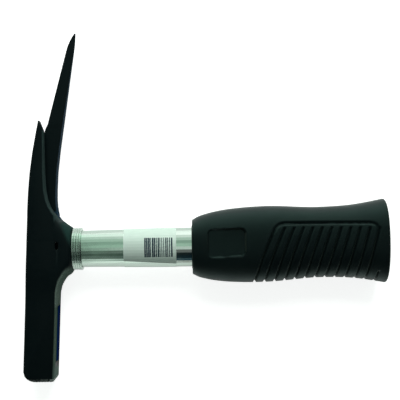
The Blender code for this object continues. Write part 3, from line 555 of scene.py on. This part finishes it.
def barrel_rings():
    """Rings of the grip's side, with grooves, border and panel pressed into them."""
    stations = [np.arange(low, high, step) for low, high, step in GRIP_SPACING]
    along = np.concatenate([*stations, [BARREL_LENGTH]])[:, None]
    up, out = (share[None, :] for share in superellipse(GRIP_POWER, GRIP_STEPS))
    half_height, half_thick = grip_profile(along)
    height, depth = half_height * up, half_thick * out
    normal_y = signed_power(up, GRIP_POWER - 1) / half_height
    normal_z = signed_power(out, GRIP_POWER - 1) / half_thick
    length = np.hypot(normal_y, normal_z)
    normal_y, normal_z = normal_y / length, normal_z / length
    along = np.broadcast_to(along, height.shape)
    facing = np.abs(normal_z)
    sunk = np.maximum(groove_depth(along, height, facing), 0)
    line = border_depth(along, height, facing)
    sunk = np.where(line > 0, np.maximum(sunk, line), sunk + line)
    sunk = np.maximum(sunk, panel_depth(along, height, depth, facing))
    y = height + grip_centre(along) - sunk * normal_y
    z = depth - sunk * normal_z
    return np.stack([GRIP_START + along, y, z], axis=-1)


def plain_ring(place, half_height, half_thick, power, centre):
    up, out = superellipse(power, GRIP_STEPS)
    return np.stack([np.full(GRIP_STEPS, place), centre + half_height * up, half_thick * out], axis=-1)


def front_rings():
    """The rounded front edge."""
    half_height, half_thick = (float(size[0]) for size in grip_profile(np.array([FRONT_RADIUS])))
    rings = []
    for degrees in FRONT_TURNS:
        angle = math.radians(degrees)
        inset = FRONT_RADIUS * (1 - math.sin(angle))
        along = FRONT_RADIUS * (1 - math.cos(angle))
        size = (half_height - inset, half_thick - inset)
        rings.append(plain_ring(GRIP_START + along, *size, GRIP_POWER, grip_centre(along)))
    return rings


def butt_rings():
    """The domed butt, out to the small flat in its middle."""
    half_height, half_thick = (float(size[0]) for size in grip_profile(np.array([BARREL_LENGTH])))
    rings = []
    for step in range(1, BUTT_STEPS + 1):
        angle = math.pi / 2 * step / (BUTT_STEPS + BUTT_FLAT_SHARE)
        along = BARREL_LENGTH + math.sin(angle) ** (2 / BUTT_POWER) * BUTT_CURVE
        shrink = math.cos(angle) ** (2 / BUTT_POWER)
        size = (half_height * shrink, half_thick * shrink)
        rings.append(plain_ring(GRIP_START + along, *size, GRIP_POWER, grip_centre(along)))
    return rings


def bore_rings():
    """The bore over the liner, from its blind end to the front."""
    rings = []
    for place in (GRIP_LENGTH - END_WALL, 0.0):
        half_height, half_thick = TUBE_HALF_HEIGHT + BORE_GAP, TUBE_HALF_THICKNESS + BORE_GAP
        rings.append(plain_ring(GRIP_START + place, half_height, half_thick, OVAL_POWER, 0.0))
    return rings


def make_grip():
    """One closed skin: bore, front edge, side and butt."""
    rings = [*bore_rings(), *front_rings(), *barrel_rings(), *butt_rings()]
    points = np.concatenate(rings).reshape(-1, 3)
    steps = np.arange(GRIP_STEPS)
    following = (steps + 1) % GRIP_STEPS
    faces = [tuple(reversed(steps.tolist()))]
    for ring in range(len(rings) - 1):
        low, high = ring * GRIP_STEPS, (ring + 1) * GRIP_STEPS
        quads = np.stack([low + steps, low + following, high + following, high + steps], axis=-1)
        faces += [tuple(quad) for quad in quads.tolist()]
    last = (len(rings) - 1) * GRIP_STEPS
    faces.append(tuple((last + steps).tolist()))
    mesh = bpy.data.meshes.new("soft_grip")
    mesh.from_pydata([about_eye(point) for point in points], [], faces)
    build = bmesh.new()
    build.from_mesh(mesh)
    bmesh.ops.recalc_face_normals(build, faces=build.faces)
    build.to_mesh(mesh)
    build.free()
    mesh.shade_smooth()
    mesh.set_sharp_from_angle(angle=GRIP_SHARP_ANGLE)
    return linked("soft_grip", mesh)


def linked(name, mesh):
    piece = bpy.data.objects.new(name, mesh)
    bpy.context.scene.collection.objects.link(piece)
    return piece


# Milled striking face


def add_bar(build, ends):
    """A closed three-sided bar between two triangles."""
    first, second = ([build.verts.new(about_eye(point)) for point in end] for end in ends)
    build.faces.new(first)
    build.faces.new(list(reversed(second)))
    for i in range(3):
        j = (i + 1) % 3
        build.faces.new((first[i], first[j], second[j], second[i]))


def milling_cutter():
    """V bars in two directions across the striking face."""
    build = bmesh.new()
    front = HEAD_LOW.x - EYE.x
    half = MILLING_HALF_WIDTH * (1 + MILLING_OVER)
    low, high = FACE - MILLING_DEPTH * MILLING_OVER, FACE + MILLING_DEPTH
    outline = ((-half, low), (0.0, high), (half, low))
    ends = (-MILLING_SIDE - MILLING_BEYOND, MILLING_SIDE + MILLING_BEYOND)
    for index in range(MILLING_ROWS):
        place = front + MILLING_MARGIN + (index + 0.5) * MILLING_PITCH
        add_bar(build, [[(place + u, v, w) for u, v in outline] for w in ends])
    ends = (front - MILLING_BEYOND, front + MILLING_REACH + MILLING_BEYOND)
    for index in range(MILLING_COLUMNS):
        place = -MILLING_SIDE + (index + 0.5) * MILLING_PITCH
        add_bar(build, [[(w, v, place + u) for u, v in outline] for w in ends])
    bmesh.ops.recalc_face_normals(build, faces=build.faces)
    mesh = bpy.data.meshes.new("milling_cutter")
    build.to_mesh(mesh)
    build.free()
    return linked("milling_cutter", mesh)


def make_head():
    """The forging of the frame with its striking face milled."""
    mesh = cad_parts["hammer_head"].data.copy()
    mesh.name = "forged_head"
    mesh.materials.clear()
    build = bmesh.new()
    build.from_mesh(mesh)
    bmesh.ops.remove_doubles(build, verts=build.verts, dist=WELD_DISTANCE * MM)
    bmesh.ops.recalc_face_normals(build, faces=build.faces)
    build.to_mesh(mesh)
    build.free()
    head = linked("forged_head", mesh)
    cutter = milling_cutter()
    milling = head.modifiers.new("milling", "BOOLEAN")
    milling.operation = "DIFFERENCE"
    milling.solver = "EXACT"
    milling.use_self = True
    milling.object = cutter
    graph = bpy.context.evaluated_depsgraph_get()
    milled = bpy.data.meshes.new_from_object(head.evaluated_get(graph))
    head.modifiers.clear()
    head.data = milled
    bpy.data.objects.remove(cutter)
    milled.shade_smooth()
    milled.set_sharp_from_angle(angle=HEAD_SHARP_ANGLE)
    return head


# Node trees


class Tree:
    """Short calls to build a node tree."""

    def __init__(self, tree):
        self.tree = tree

    def add(self, kind, **settings):
        node = self.tree.nodes.new(kind)
        for name, value in settings.items():
            setattr(node, name, value)
        return node

    def link(self, source, target):
        self.tree.links.new(source, target)

    def feed(self, socket, value):
        """Links a node's output to a socket, or sets the socket to a plain value."""
        if isinstance(value, bpy.types.NodeSocket):
            self.link(value, socket)
        else:
            socket.default_value = value

    def maths(self, operation, *values):
        node = self.add("ShaderNodeMath", operation=operation)
        for socket, value in zip(node.inputs, values):
            self.feed(socket, value)
        return node.outputs[0]

    def times(self, first, second):
        return self.maths("MULTIPLY", first, second)

    def step(self, value, low, high, start=0.0, end=1.0):
        """Maps low..high to start..end, smoothly and within those bounds."""
        node = self.add("ShaderNodeMapRange", interpolation_type="SMOOTHSTEP")
        self.feed(node.inputs["Value"], value)
        for name, number in (("From Min", low), ("From Max", high), ("To Min", start), ("To Max", end)):
            node.inputs[name].default_value = number
        return node.outputs["Result"]

    def parts(self, vector):
        """The X, Y and Z outputs of a vector."""
        node = self.add("ShaderNodeSeparateXYZ")
        self.link(vector, node.inputs[0])
        return node.outputs

    def blend(self, share, first, second):
        node = self.add("ShaderNodeMix", data_type="RGBA")
        self.feed(node.inputs["Factor"], share)
        for socket, colour in ((node.inputs["A"], first), (node.inputs["B"], second)):
            self.feed(socket, (*colour, 1.0) if isinstance(colour, tuple) else colour)
        return node.outputs["Result"]


class Finish(Tree):
    """A material's node tree, with object coordinates in metres."""

    def __init__(self, name):
        self.material = bpy.data.materials.new(name)
        self.material.use_nodes = True
        super().__init__(self.material.node_tree)
        self.shader = self.tree.nodes["Principled BSDF"]
        self.place = self.add("ShaderNodeTexCoord").outputs["Object"]

    def noise(self, scale, detail=PLAIN_DETAIL, stretch=(1, 1, 1)):
        mapping = self.add("ShaderNodeMapping")
        mapping.inputs["Scale"].default_value = stretch
        self.link(self.place, mapping.inputs["Vector"])
        texture = self.add("ShaderNodeTexNoise")
        texture.inputs["Scale"].default_value = scale
        texture.inputs["Detail"].default_value = detail
        self.link(mapping.outputs["Vector"], texture.inputs["Vector"])
        return texture.outputs["Fac"]

    def axis(self, name):
        return self.parts(self.place)[name]

    def normal_axis(self, name):
        return self.parts(self.add("ShaderNodeNewGeometry").outputs["Normal"])[name]

    def place_step(self, name, low, high, start=0.0, end=1.0):
        """As step, between two places along an axis, in millimetres about the eye."""
        middle = getattr(EYE, name.lower())
        return self.step(self.axis(name), (middle + low) * MM, (middle + high) * MM, start, end)

    def band(self, value, low, high, soft):
        """1 between two values in metres, 0 outside them."""
        rise = self.step(value, low - soft, low + soft)
        fall = self.step(value, high - soft, high + soft, 1.0, 0.0)
        return self.times(rise, fall)

    def place_band(self, name, low, high, soft):
        """As band, between two places along an axis, in millimetres about the eye."""
        middle = getattr(EYE, name.lower())
        return self.band(self.axis(name), (middle + low) * MM, (middle + high) * MM, soft * MM)

    def bump(self, height, distance, strength, below=None):
        """A normal raised by a height of so many millimetres."""
        node = self.add("ShaderNodeBump")
        node.inputs["Strength"].default_value = strength
        node.inputs["Distance"].default_value = distance * MM
        self.link(height, node.inputs["Height"])
        if below is not None:
            self.link(below, node.inputs["Normal"])
        return node.outputs["Normal"]

    def rounded(self, radius, samples):
        """The normal of the surface with its edges rounded by so many millimetres."""
        bevel = self.add("ShaderNodeBevel", samples=samples)
        bevel.inputs["Radius"].default_value = radius * MM
        return bevel.outputs["Normal"]

    def edges(self, radius):
        """1 on edges sharper than a radius, 0 on flat faces."""
        geometry = self.add("ShaderNodeNewGeometry")
        dot = self.add("ShaderNodeVectorMath", operation="DOT_PRODUCT")
        self.link(self.rounded(radius, EDGE_SAMPLES), dot.inputs[0])
        self.link(geometry.outputs["Normal"], dot.inputs[1])
        return self.step(dot.outputs["Value"], *EDGE_DOTS)

    def surface(self, colour, roughness, metallic=0.0, normal=None, **plain):
        self.feed(self.shader.inputs["Base Color"], (*colour, 1.0) if isinstance(colour, tuple) else colour)
        self.feed(self.shader.inputs["Roughness"], roughness)
        self.feed(self.shader.inputs["Metallic"], metallic)
        if normal is not None:
            self.link(normal, self.shader.inputs["Normal"])
        for name, value in plain.items():
            self.shader.inputs[name.replace("_", " ").title().replace("Ior", "IOR")].default_value = value
        return self.material


# Materials


def poll_painted_light(n, colour):
    """(colour, mask) with a painted highlight on the poll's side and heel, and painted shade past the strip.
    """
    # Painted highlight: a mottled grey-green on the side facing the handle, lighter above the strip,
    # brighter again on the heel.
    facing = n.step(n.maths("SUBTRACT", n.normal_axis("X"), n.normal_axis("Y")), *POLL_SIDE_FACING)
    side = n.times(facing, n.place_step("Y", *POLL_SIDE_TOP))
    mottle = n.step(n.noise(MOTTLE_GRAIN), *MOTTLE_CONTRAST, *MOTTLE_SHARES)
    tone = n.blend(n.place_step("Y", *POLL_SIDE_ABOVE_STRIP), *POLL_SIDE_HIGHLIGHT_TONES)
    colour = n.blend(n.times(side, mottle), colour, tone)
    by_heel = n.times(side, n.place_step("Y", *HEEL_TOP))
    colour = n.blend(by_heel, colour, n.blend(n.place_step("Z", *HEEL_EDGE), *HEEL_HIGHLIGHT_TONES))
    # Painted shade: navy past the strip's far edge.
    far_side = n.times(n.place_step("Z", *STRIP_SHADE_EDGE), side)
    by_strip = n.place_band("Y", STRIP_BOTTOM, STRIP_TOP, STRIP_SHADE_SOFTNESS)
    return n.blend(n.times(far_side, by_strip), colour, STRIP_SHADE_TONE), side


def boss_painted_highlight(n, colour):
    """(colour, mask) with a painted highlight on the boss, past a slanting line."""
    slanted = n.maths("MULTIPLY_ADD", n.axis("Y"), BOSS_LIGHT_SLOPE, n.axis("X"))
    line = EYE.x + BOSS_LIGHT_SLOPE * EYE.y + BOSS_LIGHT_LINE
    on_boss = n.step(slanted, (line - BOSS_LIGHT_SOFTNESS) * MM, (line + BOSS_LIGHT_SOFTNESS) * MM)
    # Painted highlight: a green-grey tone on the boss past the slanting line.
    light = n.times(on_boss, n.place_band("Y", *BOSS_LIGHT_SPAN))
    return n.blend(light, colour, BOSS_HIGHLIGHT_TONE), light


def claw_highlights(n, colour):
    """(colour, mask) with painted highlights on the backs of the tine and of the spike."""
    back = n.times(n.step(n.normal_axis("X"), *CLAW_BACK_FACING), n.place_step("Y", *CLAW_BACK_START))
    near = n.place_step("Z", *NEAR_HALF)
    tine_back = n.times(n.times(back, near), n.place_step("Y", *TINE_BACK_END))
    # Painted highlight on the tine's back.
    colour = n.blend(tine_back, colour, TINE_BACK_HIGHLIGHT_TONE)
    spike_back = n.times(back, n.maths("SUBTRACT", 1.0, near))
    # Painted highlight, bluish, on the spike's back.
    return n.blend(n.times(spike_back, SPIKE_BACK_SHARE), colour, SPIKE_BACK_HIGHLIGHT_TONE), back


def lacquered_steel():
    """Satin black lacquer over forged steel, worn grey on sharp edges and bare on the milled face.

    The sides that catch the light carry painted highlights and are duller, and past the strip there is
    painted shade.
    """
    n = Finish("black_lacquered_steel")
    forge = n.noise(FORGE_GRAIN, COARSE_DETAIL)
    fine = n.noise(FORGE_FINE_GRAIN, FINE_DETAIL)
    worn = n.times(n.edges(WORN_RADIUS), n.step(n.noise(WORN_GRAIN, COARSE_DETAIL), *WORN_CONTRAST))
    colour = n.blend(forge, *LACQUER_TONES)
    colour = n.blend(n.times(worn, WORN_SHARE), colour, WORN_TONE)
    colour, poll_highlight = poll_painted_light(n, colour)
    colour, boss_highlight = boss_painted_highlight(n, colour)
    colour, claw_back = claw_highlights(n, colour)
    milled = n.times(n.place_step("Y", *MILLED_EDGE), n.step(n.noise(SPECKLE_GRAIN), *SPECKLE_CONTRAST))
    # Real bare milling, with a larger share of it towards the handle as a painted highlight.
    bare = n.times(milled, n.place_step("X", *MILLED_LIGHT, *MILLED_LIGHT_SHARES))
    colour = n.blend(bare, colour, BARE_TONE)
    dull = n.maths("MAXIMUM", n.maths("MAXIMUM", claw_back, poll_highlight), boss_highlight)
    rough = n.maths("MULTIPLY_ADD", dull, DULL_ROUGHER, n.step(forge, *SOFT_CONTRAST, *LACQUER_ROUGHNESS))
    soft = n.rounded(FORGE_RADIUS, FORGE_SAMPLES)
    normal = n.bump(fine, *FORGE_FINE_RELIEF, n.bump(forge, *FORGE_RELIEF, soft))
    return n.surface(colour, rough, n.times(bare, BARE_METAL), normal, specular_ior_level=LACQUER_GLOSS)


def zinc_marks(n, stretch, spangle, blotch, roughness, dents):
    """(colour, roughness, normal) of bright zinc plate, with fine marks one way and a faint spangle."""
    marks = n.noise(ZINC_GRAIN, PLAIN_DETAIL, stretch)
    cloud = n.noise(spangle, PLAIN_DETAIL, blotch)
    colour = n.blend(cloud, *ZINC_TONES)
    by_marks = n.step(marks, *SOFT_CONTRAST, 0.0, ZINC_MARKS_ROUGHER)
    by_cloud = n.step(cloud, *SOFT_CONTRAST, roughness, roughness + ZINC_CLOUD_ROUGHER)
    normal = n.bump(marks, *ZINC_RELIEF, n.bump(cloud, dents, ZINC_DENT_STRENGTH))
    return colour, n.maths("ADD", by_marks, by_cloud), normal


def zinc(name, *marks):
    n = Finish(name)
    colour, rough, normal = zinc_marks(n, *marks)
    return n.surface(colour, rough, 1.0, normal)


def label_bars(n, x):
    """1 on the generic bars: one bar to a pitch, of a width that changes from bar to bar."""
    place = n.maths("DIVIDE", x, BAR_PITCH * MM)
    chance = n.add("ShaderNodeTexWhiteNoise", noise_dimensions="1D")
    n.link(n.maths("FLOOR", place), chance.inputs["W"])
    thin, thick = BAR_SHARES
    share = n.maths("MULTIPLY_ADD", chance.outputs["Value"], thick - thin, thin)
    bars = n.maths("LESS_THAN", n.maths("FRACT", place), share)
    start, end = (LABEL_LOW.x + reach for reach in BARS_ALONG)
    across = n.band(x, start * MM, end * MM, BARS_SOFTNESS * MM)
    return n.times(n.times(bars, across), n.place_band("Y", *BARS_UP, BARS_SOFTNESS))


def printed_film():
    """Plain label film with generic bars and a painted shadow along its lower edge. Below a slanting line it
    is cut away and shows the tube's zinc.
    """
    n = Finish("label_film")
    x, y = n.axis("X"), n.axis("Y")
    paper = n.blend(n.noise(PAPER_GRAIN), *PAPER_TONES)
    colour = n.blend(label_bars(n, x), paper, INK_TONE)
    slope = LABEL_EDGE_FALL / LABEL_WIDTH
    line = (EYE.y - LABEL_EDGE + slope * LABEL_LOW.x) * MM
    above = n.maths("SUBTRACT", y, n.maths("MULTIPLY_ADD", x, -slope, line))
    # Painted shadow: a darker band just above the cut line.
    shade_low, shade_high, shade_soft = (reach * MM for reach in LABEL_EDGE_SHADE)
    colour = n.blend(n.band(above, shade_low, shade_high, shade_soft), colour, LABEL_EDGE_SHADE_TONE)
    bare = n.step(above, 0.0, -LABEL_EDGE_SOFTNESS * MM)
    zinc_colour, zinc_rough, zinc_normal = zinc_marks(n, *TUBE_MARKS)
    film_rough = n.step(n.noise(FILM_GRAIN), *SOFT_CONTRAST, *FILM_ROUGHNESS)
    film_share = n.times(n.maths("SUBTRACT", 1.0, bare), film_rough)
    rough = n.maths("ADD", n.times(bare, zinc_rough), film_share)
    normal = n.bump(n.noise(FILM_FINE_GRAIN), *FILM_RELIEF, zinc_normal)
    return n.surface(n.blend(bare, colour, zinc_colour), rough, bare, normal)


def smoother_fields(n):
    """1 on the grip's panel and between its grooves."""
    x, y = n.axis("X"), n.axis("Y")
    middle = EYE.y + PANEL_MIDDLE_RISE
    start = (GRIP_LOW.x + PANEL_START) * MM
    low, high = (middle + PANEL_TOP - PANEL_HEIGHT) * MM, (middle + PANEL_TOP) * MM
    soft = PANEL_SOFTNESS * MM
    on_panel = n.times(n.band(x, start, start + PANEL_LENGTH * MM, soft), n.band(y, low, high, soft))
    lean = GROOVE_LEAN / (BORDER_HEIGHT + GRIP_BOTTOM)
    upright = n.maths("MULTIPLY_ADD", y, -lean, x)
    start = (GRIP_LOW.x + GROOVE_START + lean * (GRIP_BOTTOM - EYE.y)) * MM
    end = start + (GROOVE_COUNT - 2) * GROOVE_PITCH * MM
    below_border = n.place_step("Y", BORDER_HEIGHT, BORDER_HEIGHT - 2 * BORDER_FALL)
    in_grooves = n.times(n.band(upright, start, end, GROOVES_SOFTNESS * MM), below_border)
    return n.maths("MAXIMUM", on_panel, in_grooves)


def grip_rubber():
    """Soft black rubber with a fine moulded grain, smoother on the panel and between the grooves."""
    n = Finish("grip_rubber")
    cloud = n.noise(RUBBER_CLOUD)
    colour = n.blend(cloud, *RUBBER_TONES)
    normal = n.bump(n.noise(RUBBER_GRAIN, FINE_DETAIL), *RUBBER_RELIEF)
    rough = n.step(cloud, *SOFT_CONTRAST, *RUBBER_ROUGHNESS)
    rough = n.maths("MULTIPLY_ADD", smoother_fields(n), -RUBBER_SMOOTHER, rough)
    return n.surface(colour, rough, 0.0, normal, **RUBBER_LOOK)


def moulded_plastic(name, tones, roughness, gloss=PLASTIC_GLOSS, edge=None):
    """Moulded plastic with a slight cloud and fine texture. An edge is (low, high, tone above), a painted
    shade.
    """
    n = Finish(name)
    colour = n.blend(n.noise(PLASTIC_CLOUD), *tones)
    if edge is not None:
        low, high, tone = edge
        # Painted shade: the edge's tone above a line across Z.
        colour = n.blend(n.place_step("Z", low, high), colour, tone)
    normal = n.bump(n.noise(PLASTIC_GRAIN, FINE_DETAIL), *PLASTIC_RELIEF)
    rough = n.step(n.noise(PLASTIC_WEAR), *SOFT_CONTRAST, roughness, roughness + PLASTIC_ROUGHER)
    return n.surface(colour, rough, 0.0, normal, specular_ior_level=gloss)


def steel(name, tones, roughness):
    """Turned or plated steel with fine marks."""
    n = Finish(name)
    marks = n.noise(STEEL_GRAIN, PLAIN_DETAIL, STEEL_STRETCH)
    normal = n.bump(marks, *STEEL_RELIEF)
    rough = n.step(marks, *SOFT_CONTRAST, roughness, roughness + STEEL_ROUGHER)
    return n.surface(n.blend(marks, *tones), rough, 1.0, normal)


def dress(piece, finish):
    piece.data.materials.clear()
    piece.data.materials.append(finish)


def dress_frame():
    """New materials for the solids of the frame that stay in view."""
    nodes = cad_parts
    dress(nodes["handle_tube"], zinc("zinc_plated_tube", *TUBE_MARKS))
    dress(nodes["crimp_collar"], zinc("zinc_plated_collar", *COLLAR_MARKS))
    dress(nodes["tube_label"], printed_film())
    for node, *finish in PLASTIC_PARTS:
        dress(nodes[node], moulded_plastic(*finish))
    for node, *finish in STEEL_PARTS:
        dress(nodes[node], steel(*finish))


# Studio


def tent_walls(n, turn, table):
    """The colours of one of the tent's tables, by the turn round the handle's line.

    A row is degrees from straight up towards the spike's side, brightness, and share of a tint:
    the green one, or the blue one where the share is below 0.
    """
    ramp = n.add("ShaderNodeValToRGB")
    stops = ramp.color_ramp.elements
    for degrees, _, _ in table[1:-1]:
        stops.new(STRAIGHT_UP + degrees / FULL_TURN)
    for stop, (_, level, share) in zip(stops, table):
        tint = TENT_GREEN if share > 0 else TENT_BLUE
        stop.color = (*(between(1.0, part, abs(share)) * level for part in tint), 1.0)
    n.link(turn, ramp.inputs["Fac"])
    return ramp.outputs["Color"]


def make_world():
    """A light tent that lights the hammer and is mirrored in it. The camera sees plain white instead."""
    world = bpy.data.worlds.new("studio")
    bpy.context.scene.world = world
    world.use_nodes = True
    world.node_tree.nodes.clear()
    n = Tree(world.node_tree)
    x, y, z = n.parts(n.add("ShaderNodeTexCoord").outputs["Generated"])
    turn = n.maths("MULTIPLY_ADD", n.maths("ARCTAN2", y, z), 1 / (2 * math.pi), STRAIGHT_UP)
    tables = (TENT_OVER_COLLAR, TENT_OVER_GRIP, TENT_OVER_ENDS)
    by_collar, by_grip, by_ends = (tent_walls(n, turn, table) for table in tables)
    over_tube = n.blend(n.step(x, *TENT_TURNS), by_collar, by_grip)
    on_tube = n.times(n.step(x, *TENT_TUBE_STARTS), n.step(x, *TENT_TUBE_ENDS))
    walls = n.blend(on_tube, by_ends, over_tube)
    colour = n.blend(n.step(n.maths("ABSOLUTE", x), *TENT_ENDS_SPAN), walls, TENT_ENDS)
    tent = n.add("ShaderNodeBackground")
    n.link(colour, tent.inputs["Color"])
    white = n.add("ShaderNodeBackground")
    white.inputs["Color"].default_value = WHITE
    rays = n.add("ShaderNodeLightPath").outputs
    mix = n.add("ShaderNodeMixShader")
    n.link(n.maths("MAXIMUM", rays["Is Camera Ray"], rays["Is Transmission Ray"]), mix.inputs["Fac"])
    n.link(tent.outputs[0], mix.inputs[1])
    n.link(white.outputs[0], mix.inputs[2])
    n.link(mix.outputs[0], n.add("ShaderNodeOutputWorld").inputs["Surface"])


def make_floor():
    """A pale floor that keeps the hammer's shadow. It glows to the camera, and less to what mirrors it."""
    mesh = bpy.data.meshes.new("floor")
    sides = ((-1, -1), (1, -1), (1, 1), (-1, 1))
    points = [(x * FLOOR_HALF, y * FLOOR_HALF, FLOOR_HEIGHT) for x, y in sides]
    mesh.from_pydata(points, [], [(0, 1, 2, 3)])
    floor = linked("floor", mesh)
    material = bpy.data.materials.new("white_floor")
    material.use_nodes = True
    material.node_tree.nodes.clear()
    n = Tree(material.node_tree)
    paper = n.add("ShaderNodeBsdfDiffuse")
    paper.inputs["Color"].default_value = FLOOR_TONE
    rays = n.add("ShaderNodeLightPath").outputs
    other_rays = n.maths("MAXIMUM", rays["Is Glossy Ray"], rays["Is Transmission Ray"])
    mirrored = n.times(other_rays, FLOOR_GLOW_IN_METAL)
    glow = n.add("ShaderNodeEmission")
    n.link(n.maths("MULTIPLY_ADD", rays["Is Camera Ray"], FLOOR_GLOW, mirrored), glow.inputs["Strength"])
    both = n.add("ShaderNodeAddShader")
    n.link(paper.outputs[0], both.inputs[0])
    n.link(glow.outputs[0], both.inputs[1])
    n.link(both.outputs[0], n.add("ShaderNodeOutputMaterial").inputs["Surface"])
    mesh.materials.append(material)


def make_lamp():
    """A soft square lamp that faces the hammer's middle."""
    light = bpy.data.lights.new("key_lamp", "AREA")
    light.shape = "SQUARE"
    light.size = LAMP_SIZE
    light.energy = LAMP_POWER
    lamp = bpy.data.objects.new("key_lamp", light)
    bpy.context.scene.collection.objects.link(lamp)
    lamp.location = LAMP_PLACE
    lamp.rotation_euler = (-LAMP_PLACE).to_track_quat("-Z", "Y").to_euler()
    lamp.visible_glossy = False


def make_camera():
    data = bpy.data.cameras.new("camera")
    data.angle = CAMERA_VIEW
    data.clip_start = CAMERA_NEAR
    data.clip_end = CAMERA_FAR
    camera = bpy.data.objects.new("camera", data)
    bpy.context.scene.collection.objects.link(camera)
    camera.location = about_eye(CAMERA_OFFSET)
    camera.rotation_euler = (0.0, 0.0, CAMERA_TURN)
    bpy.context.scene.camera = camera


dress_frame()

head = make_head()
dress(head, lacquered_steel())
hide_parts("hammer_head")
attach(head, "root")

grip = make_grip()
dress(grip, grip_rubber())
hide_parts("grip_sleeve")
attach(grip, "root")

make_world()
make_floor()
make_lamp()
make_camera()
bpy.context.scene.view_settings.view_transform = "Standard"
